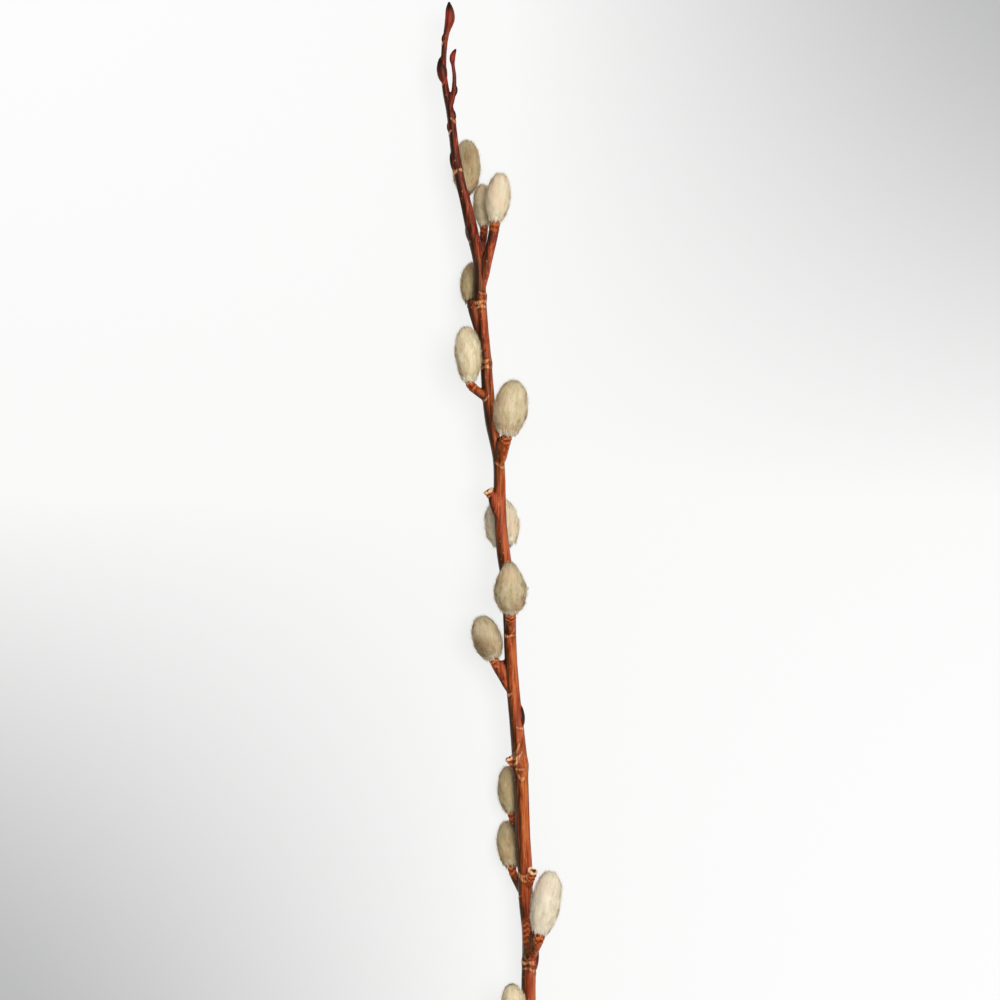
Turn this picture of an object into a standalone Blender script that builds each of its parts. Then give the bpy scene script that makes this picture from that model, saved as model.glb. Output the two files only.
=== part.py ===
"""A cut pussy willow branch, lying down: one woody stem with its side twig,
spurs, buds and scars in one piece, and fifteen furry catkins seated on the spurs.

Lengths are real sizes in millimetres, turned to metres where the shapes are made.
Places are given as across (x), along from the cut end (y) and height above
the surface that the branch lies on (z). The origin ends up on that surface,
under the middle of the whole branch.
"""
import math

import bmesh
import bpy
import numpy as np
from mathutils import Matrix, Vector

MM = 0.001

# The middle of the branch's outline on the surface, across and along
MIDDLE = (1.35, 300.8)

# The stem's middle line from the cut end to the tip: across, along, height, thickness
STEM_ROUTE = [
    (20.6, 0.0, 3.1, 6.9),
    (18.9, 29.4, 5.6, 6.7),
    (17.2, 63.0, 7.8, 6.6),
    (15.5, 96.6, 9.4, 6.5),
    (13.9, 130.2, 10.7, 6.4),
    (12.6, 159.6, 11.6, 6.2),
    (12.0, 184.8, 12.3, 6.1),
    (12.2, 210.0, 13.1, 6.1),
    (10.9, 222.6, 13.6, 6.1),
    (10.5, 235.2, 14.0, 6.3),
    (9.7, 247.8, 14.4, 6.4),
    (9.2, 264.6, 14.9, 6.2),
    (8.4, 280.0, 15.3, 6.5),
    (6.7, 298.2, 15.8, 5.7),
    (5.5, 310.8, 16.2, 5.4),
    (4.4, 327.6, 16.7, 5.3),
    (4.0, 340.2, 17.1, 5.5),
    (3.4, 354.9, 17.6, 5.5),
    (1.3, 369.6, 18.1, 5.7),
    (0.2, 382.2, 18.4, 5.2),
    (-0.1, 392.0, 18.6, 5.2),
    (-0.6, 407.4, 18.8, 4.8),
    (-3.8, 424.2, 18.8, 5.1),
    (-5.3, 438.9, 18.7, 5.1),
    (-6.0, 449.5, 18.5, 4.7),
    (-6.9, 460.0, 18.3, 4.6),
    (-8.4, 474.6, 18.0, 5.4),
    (-9.0, 491.4, 17.6, 4.9),
    (-11.8, 504.0, 17.3, 5.1),
    (-14.7, 516.6, 17.1, 4.6),
    (-16.8, 525.0, 16.9, 4.2),
    (-18.9, 537.6, 16.8, 3.8),
    (-21.0, 554.4, 16.7, 3.4),
    (-22.7, 562.8, 16.7, 2.9),
    (-23.6, 571.2, 16.7, 2.4),
    (-23.5, 579.6, 16.8, 2.4),
    (-22.5, 587.0, 17.0, 2.5),
    (-21.5, 593.0, 17.2, 4.0),
    (-21.2, 596.8, 17.3, 3.2),
    (-21.4, 600.0, 17.4, 0.7),
]
STATION_SPACING = 9.0
STEM_SIDES = 10

# Raised rings where a leaf or a side shoot grew: along, how far they stand out, half length
NODE_RINGS = [
    (92.0, 0.35, 1.8),
    (196.0, 0.30, 1.6),
    (279.0, 0.45, 3.0),
    (346.0, 0.25, 2.0),
    (448.0, 0.30, 1.5),
    (475.5, 0.45, 1.6),
    (529.0, 0.20, 1.5),
]

# The slanted cut at the lower end: a point on it, and the way it faces
CUT_POINT = (20.5, 4.0, 3.4)
CUT_FACES = (0.25, -1.0, 0.62)

# The side twig near the tip: across, along, height, thickness
SIDE_TWIG = [
    (-21.7, 553.0, 16.9, 2.2),
    (-19.9, 559.5, 17.6, 2.3),
    (-19.2, 565.0, 18.0, 2.0),
    (-19.2, 569.0, 18.2, 1.8),
    (-19.7, 573.0, 18.3, 1.7),
    (-20.0, 576.0, 18.4, 2.6),
    (-19.4, 578.2, 18.4, 2.1),
    (-18.2, 580.2, 18.4, 0.6),
]

# The catkins, from the cut end up. Each has the place along the stem where its
# spur leaves, its base, its tip, its thickness, its egg shape (above 0 it is
# wider below the middle), how far its tip narrows to a beak, whether it bears
# on the surface, where the height of its tip is worked out instead, and the
# thickness of its spur.
CATKINS = [
    (97.0, (7.7, 110.5, 10.2), (0.7, 131.0, 9.4), 11.0, 0.10, 0.0, False, 3.6),
    (138.0, (18.8, 150.0, 9.4), (26.6, 172.0, 3.0), 11.4, 0.05, 0.0, True, 3.6),
    (155.0, (7.4, 167.0, 17.2), (4.6, 188.0, 23.0), 11.4, 0.05, 0.0, False, 3.6),
    (196.0, (17.0, 209.4, 20.3), (21.6, 234.8, 18.4), 12.8, -0.04, 0.0, False, 4.2),
    (222.0, (4.8, 236.4, 8.4), (2.8, 254.6, 4.0), 10.8, 0.06, 0.0, True, 3.4),
    (247.0, (4.8, 259.4, 8.4), (3.6, 277.8, 6.2), 10.8, 0.04, 0.0, False, 3.4),
    (308.0, (-3.0, 324.6, 16.4), (-8.4, 341.6, 17.4), 12.6, 0.06, 0.0, False, 3.8),
    (333.0, (4.5, 344.6, 24.5), (4.0, 364.6, 33.3), 14.2, 0.10, 0.32, False, 4.4),
    (357.0, (1.7, 371.6, 9.2), (-0.4, 391.4, 5.4), 15.0, 0.08, 0.0, True, 3.6),
    (404.0, (3.1, 418.6, 23.1), (6.1, 440.4, 27.1), 14.6, 0.04, 0.0, False, 4.2),
    (432.0, (-12.7, 441.0, 21.6), (-14.2, 463.0, 23.8), 11.4, -0.02, 0.0, False, 3.8),
    (463.0, (-12.2, 474.4, 12.2), (-11.2, 490.8, 7.6), 10.4, 0.04, 0.0, False, 3.3),
    (489.0, (-6.8, 507.0, 12.2), (-7.6, 523.6, 11.2), 8.6, 0.05, 0.0, False, 3.3),
    (476.0, (-1.9, 508.0, 20.0), (0.4, 527.4, 21.2), 10.8, 0.04, 0.0, False, 4.2),
    (509.0, (-14.3, 521.0, 9.2), (-14.0, 543.4, 4.0), 12.0, 0.04, 0.0, True, 3.3),
]
CATKIN_SIDES = 16
CATKIN_RINGS = 12
SEAT_GAP = 0.3

# The fur lies in tufts, each over its own scale, in rows that are half a tuft apart
TUFTS_ROUND = 5
TUFT_ROWS = 5
TUFT_RELIEF = 0.035
BLUNTNESS = 0.86

# How deep a catkin that bears on the surface is flattened by it
BEARING_DEPTH = 0.4

# Spurs: how much thicker the collar under the catkin is, its length, and how far
# towards the stem's flank a spur starts, as a share of the stem's half thickness
COLLAR_SWELLS = 0.9
COLLAR_LENGTH = 1.2
FLANK = 0.5
SPUR_STATIONS = 8
SPUR_SIDES = 8

# Stubs that a fallen catkin left: place along the stem, end of the stub, thickness
STUBS = [
    (386.0, (-5.0, 394.6, 20.2), 4.0),
    (226.0, (14.0, 235.0, 17.6), 4.2),
    (274.0, (3.6, 282.2, 16.8), 3.2),
    (60.0, (21.8, 67.0, 8.6), 3.2),
]
STUB_NECK = 3.2

# Buds pressed to the stem: along, side (0 faces right, 90 faces up), length, width, thickness
BUDS = [
    (52.0, 200.0, 9.0, 4.2, 2.6),
    (84.0, 100.0, 9.0, 4.0, 2.6),
    (143.0, 250.0, 9.0, 3.8, 2.6),
    (193.5, 8.0, 12.0, 3.8, 2.8),
    (296.0, 12.0, 9.6, 3.8, 3.0),
    (320.0, 262.0, 8.5, 3.4, 2.4),
    (398.0, 265.0, 8.5, 3.4, 2.4),
    (453.0, 100.0, 6.0, 3.0, 1.4),
    (500.0, 215.0, 8.0, 3.2, 2.2),
    (529.5, 175.0, 8.6, 3.0, 2.2),
    (545.5, 185.0, 4.6, 2.2, 1.6),
    (550.5, 20.0, 4.2, 2.0, 1.4),
    (567.5, 178.0, 10.6, 3.2, 2.9),
    (583.0, 182.0, 4.0, 2.0, 1.6),
]
BUD_SIDES = 8
BUD_RINGS = 7
WELD = 1e-6


def placed(across, along, height):
    """The point in metres, measured from the origin under the branch's middle."""
    return Vector((across - MIDDLE[0], along - MIDDLE[1], height)) * MM


def smooth_through(points, where):
    """The rows of points as a smooth function of their along value, read at where.

    Between two rows it is a cubic whose slope at each row is the slope
    between its neighbours.
    """
    rows = np.array(points, dtype=float)
    along = rows[:, 1]
    slopes = np.gradient(rows, along, axis=0)
    index = np.clip(np.searchsorted(along, where, side="right") - 1, 0, len(along) - 2)
    step = (along[index + 1] - along[index])[:, None]
    part = ((where - along[index]) / (along[index + 1] - along[index]))[:, None]
    rise = rows[index + 1] - rows[index]
    start_bend = slopes[index] * step - rise
    end_bend = rise - slopes[index + 1] * step
    blend = part * (1 - part) * (start_bend * (1 - part) + end_bend * part)
    return rows[index] + rise * part + blend


def stem_at(along):
    """The stem's middle (across, along, height) and thickness at one place."""
    row = smooth_through(STEM_ROUTE, np.array([along]))[0]
    return Vector(row[:3]), row[3]


def stem_stations():
    """Places along the stem: evenly spaced, and closer at each ring and at the tip."""
    last = STEM_ROUTE[-1][1]
    even = np.linspace(0.0, last, int(last / STATION_SPACING) + 1)
    rings = [ring[0] + step * ring[2] for ring in NODE_RINGS for step in (-1.2, 0.0, 1.2)]
    tip = [row[1] for row in STEM_ROUTE[-4:]]
    special = np.unique(np.array(rings + tip))
    clear = np.array([np.abs(special - place).min() > 2.0 for place in even])
    clear[0] = True
    return np.unique(np.concatenate([even[clear], special]))


def new_material(name, colour, roughness):
    material = bpy.data.materials.new(name)
    material.use_nodes = True
    shader = material.node_tree.nodes["Principled BSDF"]
    shader.inputs["Base Color"].default_value = (*colour, 1.0)
    shader.inputs["Roughness"].default_value = roughness
    shader.inputs["Metallic"].default_value = 0.0
    material.diffuse_color = (*colour, 1.0)
    return material


def tube(name, points, thicknesses, sides, collection):
    """A closed round tube through points (in metres), as a mesh object."""
    curve = bpy.data.curves.new(name + "_line", "CURVE")
    curve.dimensions = "3D"
    curve.bevel_depth = MM
    curve.bevel_resolution = (sides - 4) // 2
    curve.use_fill_caps = True
    spline = curve.splines.new("POLY")
    spline.points.add(len(points) - 1)
    for point, place, thickness in zip(spline.points, points, thicknesses):
        point.co = (*place, 1.0)
        point.radius = thickness / 2
    line = bpy.data.objects.new(name + "_line", curve)
    collection.objects.link(line)
    depsgraph = bpy.context.evaluated_depsgraph_get()
    mesh = bpy.data.meshes.new_from_object(line.evaluated_get(depsgraph))
    mesh.name = name
    weld_and_face_out(mesh)
    piece = bpy.data.objects.new(name, mesh)
    collection.objects.link(piece)
    piece.matrix_world = line.matrix_world
    bpy.data.objects.remove(line)
    bpy.data.curves.remove(curve)
    return piece


def weld_and_face_out(mesh):
    """Join a tube's caps to its wall, and turn all its faces outward."""
    bm = bmesh.new()
    bm.from_mesh(mesh)
    bmesh.ops.remove_doubles(bm, verts=bm.verts, dist=WELD)
    bmesh.ops.recalc_face_normals(bm, faces=bm.faces)
    bm.to_mesh(mesh)
    bm.free()


def make_stem_tube(collection):
    """The bare stem: its route's thickness, with a rounded rise at each ring."""
    where = stem_stations()
    rows = smooth_through(STEM_ROUTE, where)
    thickness = rows[:, 3]
    for along, rise, half_length in NODE_RINGS:
        thickness = thickness + 2 * rise * np.exp(-(((where - along) / half_length) ** 2))
    points = [placed(*row[:3]) for row in rows]
    return tube("stem", points, thickness, STEM_SIDES, collection)


def make_spur(name, leaves_at, base, heading, neck, end_thickness, collection):
    """A short woody shoot that leaves the stem along it and bends to its collar.

    Its middle line is a cubic from inside the stem's flank, starting along the
    stem, to the collar's lower end, arriving along heading. The collar is straight.
    """
    heading = heading.normalized()
    neck_end = base - heading * COLLAR_LENGTH
    middle, stem_thickness = stem_at(leaves_at)
    along_stem = (stem_at(leaves_at + 4.0)[0] - middle).normalized()
    away = neck_end - middle
    flank = (away - along_stem * away.dot(along_stem)).normalized()
    start = middle + flank * FLANK * stem_thickness / 2
    reach = (neck_end - start).length
    start_pull = along_stem * reach
    end_pull = heading * reach
    points = []
    thicknesses = []
    for step in range(SPUR_STATIONS):
        part = step / (SPUR_STATIONS - 1)
        from_end = 3 * part**2 - 2 * part**3
        from_start = 1 - from_end
        middle = start * from_start + neck_end * from_end
        middle += start_pull * (part**3 - 2 * part**2 + part)
        middle += end_pull * (part**3 - part**2)
        points.append(placed(*middle))
        thicknesses.append(neck + (end_thickness - neck) * part**5)
    points.append(placed(*base))
    thicknesses.append(end_thickness)
    return tube(name, points, thicknesses, SPUR_SIDES, collection)


def make_bud(name, along, side, length, width, thickness, collection):
    """A pointed bud with a flat back, sunk in the stem and leaning along it."""
    middle, stem_thickness = stem_at(along)
    ahead = (stem_at(along + 3.0)[0] - middle).normalized()
    across = ahead.cross(Vector((0, 0, 1))).normalized()
    up = across.cross(ahead)
    angle = math.radians(side)
    out = (across * math.cos(angle) + up * math.sin(angle)).normalized()
    beside = ahead.cross(out)
    bm = bmesh.new()
    bmesh.ops.create_uvsphere(bm, u_segments=BUD_SIDES, v_segments=BUD_RINGS, radius=1.0)
    for vert in bm.verts:
        part = (vert.co.z + 1) / 2
        plump = 1.25 * (1 - part) ** 0.45 * part**0.08
        lift = 0.12 * length * part
        local_out = vert.co.x * plump * thickness / 2 + lift
        local_beside = vert.co.y * plump * width / 2
        local_ahead = (part - 0.12) * length
        vert.co = out * local_out + beside * local_beside + ahead * local_ahead
    mesh = bpy.data.meshes.new(name)
    bmesh.ops.recalc_face_normals(bm, faces=bm.faces)
    bm.to_mesh(mesh)
    bm.free()
    mesh.transform(Matrix.Scale(MM, 4))
    bud = bpy.data.objects.new(name, mesh)
    bud.location = placed(*(middle + out * (stem_thickness / 2 - 0.15 * thickness)))
    collection.objects.link(bud)
    return bud


def slice_off(piece, point, facing):
    """Cut away what lies on the facing side of a plane, and close the cut flat."""
    to_local = piece.matrix_world.inverted()
    bm = bmesh.new()
    bm.from_mesh(piece.data)
    cut = bmesh.ops.bisect_plane(
        bm,
        geom=bm.verts[:] + bm.edges[:] + bm.faces[:],
        dist=WELD,
        plane_co=to_local @ point,
        plane_no=to_local.to_3x3() @ facing,
        clear_outer=True,
    )
    rim = [item for item in cut["geom_cut"] if isinstance(item, bmesh.types.BMEdge)]
    bmesh.ops.edgeloop_fill(bm, edges=rim)
    bmesh.ops.recalc_face_normals(bm, faces=bm.faces)
    bm.to_mesh(piece.data)
    bm.free()


def union(stem, grown):
    """Join all the pieces in the collection grown to the stem, as one body."""
    modifier = stem.modifiers.new("grown together", "BOOLEAN")
    modifier.operation = "UNION"
    modifier.operand_type = "COLLECTION"
    modifier.collection = grown
    modifier.solver = "EXACT"
    depsgraph = bpy.context.evaluated_depsgraph_get()
    joined = bpy.data.meshes.new_from_object(stem.evaluated_get(depsgraph))
    joined.name = "stem"
    stem.modifiers.clear()
    stem.data = joined
    for piece in list(grown.objects):
        bpy.data.objects.remove(piece)
    bpy.data.collections.remove(grown)


def catkin_shape(length, thickness, egg, beak):
    """A catkin with its base at the origin and its tip up +Z, in millimetres.

    Each ring of a sphere keeps its turn, and its radius is the sphere's to the
    power BLUNTNESS, times an egg shape, a beak near the tip and the fur's
    tufts, which alternate round and along. The lowest ring is flattened to a seat.
    """
    bm = bmesh.new()
    bmesh.ops.create_uvsphere(bm, u_segments=CATKIN_SIDES, v_segments=CATKIN_RINGS, radius=1.0)
    seat = -math.cos(math.pi / CATKIN_RINGS)
    for vert in bm.verts:
        rise = vert.co.z
        turn = math.atan2(vert.co.y, vert.co.x)
        ring = math.hypot(vert.co.x, vert.co.y)
        part = (max(rise, seat) - seat) / (1 - seat)
        tuft = math.cos(TUFTS_ROUND * turn + math.tau * part) * math.cos(TUFT_ROWS * math.pi * part)
        radius = thickness / 2 * ring**BLUNTNESS if ring > WELD else 0.0
        radius *= 1 - egg * rise
        radius *= 1 - beak * max(rise, 0.0) ** 0.7
        radius *= 1 + TUFT_RELIEF * tuft * ring
        vert.co = (radius * math.cos(turn), radius * math.sin(turn), part * length)
    return bm


def heading_turn(base, tip):
    """The turn that points +Z from base to tip."""
    return (tip - base).to_track_quat("Z", "Y").to_matrix()


def settled_tip(bm, base, tip, roll):
    """The tip whose height lets the fur reach BEARING_DEPTH under the surface."""
    points = np.array([vert.co[:] for vert in bm.verts])
    low, high = base.z - 20.0, base.z + 20.0
    for _ in range(40):
        tip = Vector((tip.x, tip.y, (low + high) / 2))
        turn = np.array(heading_turn(base, tip) @ roll)
        lowest = (points @ turn[2]).min() + base.z
        if lowest < -BEARING_DEPTH:
            low = tip.z
        else:
            high = tip.z
    return tip


def make_catkin(name, row, number, material, collection):
    """One catkin on its base, trimmed flat where it bears on the surface."""
    base, tip, thickness, egg, beak, bears = row[1:7]
    base, tip = Vector(base), Vector(tip)
    roll = Matrix.Rotation(math.radians(137.5 * number), 3, "Z")
    bm = catkin_shape((tip - base).length, thickness, egg, beak)
    if bears:
        tip = settled_tip(bm, base, tip, roll)
    mesh = bpy.data.meshes.new(name)
    bm.to_mesh(mesh)
    bm.free()
    mesh.transform(Matrix.Scale(MM, 4))
    mesh.materials.append(material)
    mesh.shade_smooth()
    catkin = bpy.data.objects.new(name, mesh)
    catkin.location = placed(*base)
    catkin.rotation_mode = "QUATERNION"
    catkin.rotation_quaternion = (heading_turn(base, tip) @ roll).to_quaternion()
    collection.objects.link(catkin)
    bpy.context.view_layer.update()
    if bears:
        slice_off(catkin, Vector((0, 0, 0)), Vector((0, 0, -1)))
        catkin.data.set_sharp_from_angle(angle=math.radians(40))
    heading = (tip - base).normalized()
    return base - heading * SEAT_GAP, heading


def main():
    for old in list(bpy.data.objects):
        bpy.data.objects.remove(old)
    branch = bpy.data.collections.new("willow branch")
    grown = bpy.data.collections.new("grown from the stem")
    bpy.context.scene.collection.children.link(branch)
    bpy.context.scene.collection.children.link(grown)
    bark = new_material("willow bark", (0.16, 0.035, 0.012), 0.38)
    fur = new_material("catkin fur", (0.68, 0.55, 0.36), 0.85)

    stem = make_stem_tube(branch)
    for number, row in enumerate(CATKINS):
        seat, heading = make_catkin(f"catkin_{number + 1:02d}", row, number, fur, branch)
        neck = row[7]
        make_spur(f"spur_{number + 1:02d}", row[0], seat, heading, neck, neck + COLLAR_SWELLS, grown)
    for number, (leaves_at, end, thickness) in enumerate(STUBS):
        heading = Vector(end) - stem_at(leaves_at)[0]
        make_spur(f"stub_{number + 1}", leaves_at, Vector(end), heading, STUB_NECK, thickness, grown)
    for number, bud in enumerate(BUDS):
        make_bud(f"bud_{number + 1:02d}", *bud, grown)
    twig = np.array(SIDE_TWIG)
    tube("side_twig", [placed(*row[:3]) for row in twig], twig[:, 3], SPUR_SIDES, grown)

    bpy.context.view_layer.update()
    union(stem, grown)
    slice_off(stem, placed(*CUT_POINT), Vector(CUT_FACES).normalized())
    slice_off(stem, Vector((0, 0, 0)), Vector((0, 0, -1)))
    stem.data.materials.clear()
    stem.data.materials.append(bark)
    stem.data.shade_smooth()
    stem.data.set_sharp_from_angle(angle=math.radians(50))


main()
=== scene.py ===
# %% [markdown]
# # A cut branch of pussy willow
# This notebook dresses a branch whose solids were made beforehand: one woody stem
# and fifteen catkins on short spurs. The solids give every place and size. Each
# step below makes one finer surface, or one finish, that takes a solid's place.

import math

import bpy
import numpy as np
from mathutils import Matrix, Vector


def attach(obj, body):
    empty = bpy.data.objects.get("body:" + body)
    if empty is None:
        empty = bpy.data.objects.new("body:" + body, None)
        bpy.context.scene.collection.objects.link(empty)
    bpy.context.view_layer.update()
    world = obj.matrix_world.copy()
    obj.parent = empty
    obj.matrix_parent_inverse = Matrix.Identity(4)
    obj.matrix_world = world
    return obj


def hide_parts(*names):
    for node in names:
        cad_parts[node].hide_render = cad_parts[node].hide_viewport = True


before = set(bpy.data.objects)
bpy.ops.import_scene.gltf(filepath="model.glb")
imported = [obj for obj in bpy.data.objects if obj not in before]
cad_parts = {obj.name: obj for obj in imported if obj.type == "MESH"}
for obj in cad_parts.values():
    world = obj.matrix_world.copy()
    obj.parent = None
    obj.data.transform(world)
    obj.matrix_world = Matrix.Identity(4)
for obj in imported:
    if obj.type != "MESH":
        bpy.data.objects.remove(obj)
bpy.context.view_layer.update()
print("solids:", sorted(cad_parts))

# %% [markdown]
# ## Lengths and places
# A grower would measure a branch in millimetres, so every length here is in
# millimetres, and one function turns a place into the metres that Blender uses.
# A place is across, along from the cut end, and up from the surface. The origin
# lies under the branch's middle, so that middle is taken off.

# %% Millimetres to metres
MM = 0.001
MIDDLE = np.array([1.35, 300.8, 0.0])


def in_metres(places):
    """Places in millimetres, less the branch's middle, in metres."""
    return (np.asarray(places, dtype=float) - MIDDLE) * MM


print("the cut end is at", in_metres([20.6, 0.0, 3.1]))

# %% [markdown]
# ## The camera
# The branch lies down, so the camera hangs straight above it with the tip at the
# top of the picture. The picture is square and shows 420 mm of the branch. A long
# lens from a little over a metre keeps the catkins near the edges from leaning.

# %% Camera
PICTURE_WIDTH = 420.0
PICTURE_CENTRE = (0.0, 390.6, 17.0)
CAMERA_HEIGHT = 1300.0
SENSOR = 36.0

camera_data = bpy.data.cameras.new("camera")
camera_data.sensor_width = SENSOR
camera_data.lens = SENSOR * CAMERA_HEIGHT / PICTURE_WIDTH
camera = bpy.data.objects.new("camera", camera_data)
bpy.context.scene.collection.objects.link(camera)
camera.location = in_metres(PICTURE_CENTRE) + np.array([0.0, 0.0, CAMERA_HEIGHT * MM])
bpy.context.scene.camera = camera
print(f"lens {camera_data.lens:.0f} mm")

# %% [markdown]
# ## Colours and nodes
# Colours are written as the hex values that a picture editor shows. Blender works
# with linear light, so one function converts them. Another adds any shader node with
# its options and its links, because each material needs dozens of them.

# %% Colour and node helpers
def linear(hex_colour):
    """An sRGB hex colour as linear red, green, blue and alpha."""
    levels = [int(hex_colour[place:place + 2], 16) / 255 for place in (1, 3, 5)]
    return (*[v / 12.92 if v <= 0.04045 else ((v + 0.055) / 1.055) ** 2.4 for v in levels], 1.0)


def add_node(tree, kind, settings=None, stops=(), output=0, **inputs):
    """Add a shader node and give back one of its outputs.

    Settings are the node's own options, stops a colour ramp's positions and hex colours.
    Inputs, by name or as _number, are values, or other nodes' outputs to link from.
    """
    node = tree.nodes.new("ShaderNode" + kind)
    for name, value in (settings or {}).items():
        setattr(node, name, value)
    if stops:
        elements = node.color_ramp.elements
        while len(elements) < len(stops):
            elements.new(1.0)
        for element, (position, colour) in zip(elements, stops):
            element.position = position
            element.color = linear(colour)
    for name, value in inputs.items():
        socket = node.inputs[int(name[1:]) if name[1:].isdigit() else name.replace("_", " ")]
        if isinstance(value, bpy.types.NodeSocket):
            tree.links.new(value, socket)
        else:
            socket.default_value = value
    return node.outputs[output]


def new_material(name):
    """An empty material with its shader wired to the output."""
    material = bpy.data.materials.new(name)
    material.use_nodes = True
    tree = material.node_tree
    shader = tree.nodes["Principled BSDF"]
    return material, tree, shader


print("cream fur is", tuple(round(v, 3) for v in linear("#efe2c6")))

# %% [markdown]
# ## Meshes from arrays
# Every surface below is worked out as whole arrays of points. This helper puts
# such arrays into a mesh in one go, which is much faster than adding faces singly.

# %% Mesh helpers
def split(quads):
    """Each four-cornered face as two triangles."""
    return np.concatenate([quads[:, [0, 1, 2]], quads[:, [0, 2, 3]]])


def new_object(name, points, triangles, material, values):
    """A smooth mesh object from points in metres; values are per-point numbers by name."""
    mesh = bpy.data.meshes.new(name)
    mesh.vertices.add(len(points))
    mesh.vertices.foreach_set("co", np.ascontiguousarray(points, dtype=np.float32).ravel())
    mesh.loops.add(triangles.size)
    mesh.loops.foreach_set("vertex_index", np.ascontiguousarray(triangles, dtype=np.int32).ravel())
    mesh.polygons.add(len(triangles))
    mesh.polygons.foreach_set("loop_start", np.arange(0, triangles.size, 3, dtype=np.int32))
    mesh.update(calc_edges=True)
    mesh.shade_smooth()
    for key, numbers in values.items():
        layer = mesh.attributes.new(key, "FLOAT", "POINT")
        layer.data.foreach_set("value", np.ascontiguousarray(numbers, dtype=np.float32))
    mesh.materials.append(material)
    thing = bpy.data.objects.new(name, mesh)
    bpy.context.scene.collection.objects.link(thing)
    return thing


def unit(vectors):
    """Each vector at length one."""
    return vectors / np.maximum(np.linalg.norm(vectors, axis=-1, keepdims=True), 1e-9)


def ease(low, high, value):
    """0 below low, 1 above high, and a smooth S between."""
    part = np.clip((value - low) / (high - low), 0.0, 1.0)
    return part * part * (3 - 2 * part)


# %% [markdown]
# ## The catkins' places
# Each catkin's solid says where it sits. Its points are spread evenly round an
# axis, so the direction in which they spread most is that axis: the first row of
# a singular value decomposition. The lowest point along it is the base.

# %% Read each catkin's axis from its solid
CATKIN_NAMES = sorted(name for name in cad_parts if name.startswith("catkin"))


def catkin_place(name):
    """Base, heading, length and half thickness of a catkin's solid, in millimetres."""
    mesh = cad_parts[name].data
    points = np.empty(len(mesh.vertices) * 3)
    mesh.vertices.foreach_get("co", points)
    points = np.unique(points.reshape(-1, 3).round(6), axis=0) / MM + MIDDLE
    centre = points.mean(axis=0)
    heading = np.linalg.svd(points - centre)[2][0]
    heading *= np.sign(heading[1])
    along = (points - centre) @ heading
    aside = np.linalg.norm(points - centre - along[:, None] * heading, axis=1)
    base = centre + heading * along.min()
    return base, heading, np.ptp(along), np.percentile(aside, 95)


places = {name: catkin_place(name) for name in CATKIN_NAMES}
for name in CATKIN_NAMES:
    base, heading, length, radius = places[name]
    print(name, base.round(1), f"{length:.1f} mm long, {2 * radius:.1f} mm thick")

# %% [markdown]
# ## The stem's line
# A willow rod is never straight: it turns a little at each bud. Its line is a list
# of given places, the same as the solid's, with the thickness at each. It could be
# drawn as a curve object, but a list keeps every place in millimetres.

# %% Places along the stem and along its side twig
# Across, along, up, thickness
STEM_ROUTE = np.array([
    (20.6, 0.0, 3.1, 6.9),
    (18.9, 29.4, 5.6, 6.7),
    (17.2, 63.0, 7.8, 6.6),
    (15.5, 96.6, 9.4, 6.5),
    (13.9, 130.2, 10.7, 6.4),
    (12.6, 159.6, 11.6, 6.2),
    (12.0, 184.8, 12.3, 6.1),
    (12.2, 210.0, 13.1, 6.1),
    (10.9, 222.6, 13.6, 6.1),
    (10.5, 235.2, 14.0, 6.3),
    (9.7, 247.8, 14.4, 6.4),
    (9.2, 264.6, 14.9, 6.2),
    (8.4, 280.0, 15.3, 6.5),
    (6.7, 298.2, 15.8, 5.7),
    (5.5, 310.8, 16.2, 5.4),
    (4.4, 327.6, 16.7, 5.3),
    (4.0, 340.2, 17.1, 5.5),
    (3.4, 354.9, 17.6, 5.5),
    (1.3, 369.6, 18.1, 5.7),
    (0.2, 382.2, 18.4, 5.2),
    (-0.1, 392.0, 18.6, 5.2),
    (-0.6, 407.4, 18.8, 4.8),
    (-3.8, 424.2, 18.8, 5.1),
    (-5.3, 438.9, 18.7, 5.1),
    (-6.0, 449.5, 18.5, 4.7),
    (-6.9, 460.0, 18.3, 4.6),
    (-8.4, 474.6, 18.0, 5.4),
    (-9.0, 491.4, 17.6, 4.9),
    (-11.8, 504.0, 17.3, 5.1),
    (-14.7, 516.6, 17.1, 4.6),
    (-16.8, 525.0, 16.9, 4.2),
    (-18.9, 537.6, 16.8, 3.8),
    (-21.0, 554.4, 16.7, 3.4),
    (-22.7, 562.8, 16.7, 2.9),
    (-23.6, 571.2, 16.7, 2.4),
    (-23.5, 579.6, 16.8, 2.4),
    (-22.5, 587.0, 17.0, 2.5),
    (-21.0, 593.2, 17.2, 4.1),
    (-21.2, 596.8, 17.3, 3.2),
    (-21.4, 600.0, 17.4, 0.7),
])
TWIG_ROUTE = np.array([
    (-21.7, 553.0, 16.9, 2.2),
    (-19.9, 559.5, 17.6, 2.3),
    (-19.2, 565.0, 18.0, 2.0),
    (-19.2, 569.0, 18.2, 1.8),
    (-19.7, 573.0, 18.3, 1.7),
    (-20.0, 576.0, 18.4, 2.6),
    (-19.4, 578.2, 18.4, 2.1),
    (-18.2, 580.2, 18.4, 0.6),
])
print(len(STEM_ROUTE), "places along the stem,", len(TWIG_ROUTE), "along the twig")

# %% [markdown]
# ## A smooth curve through the places
# Between each two places runs a cubic, whose slope at a place is the slope between
# that place's neighbours. So the line and its thickness change without a corner. At
# the nodes, where a leaf or a side shoot grew, the rod is a little thicker.

# %% Read a route at any place
STEM_STEP = 0.8
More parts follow.
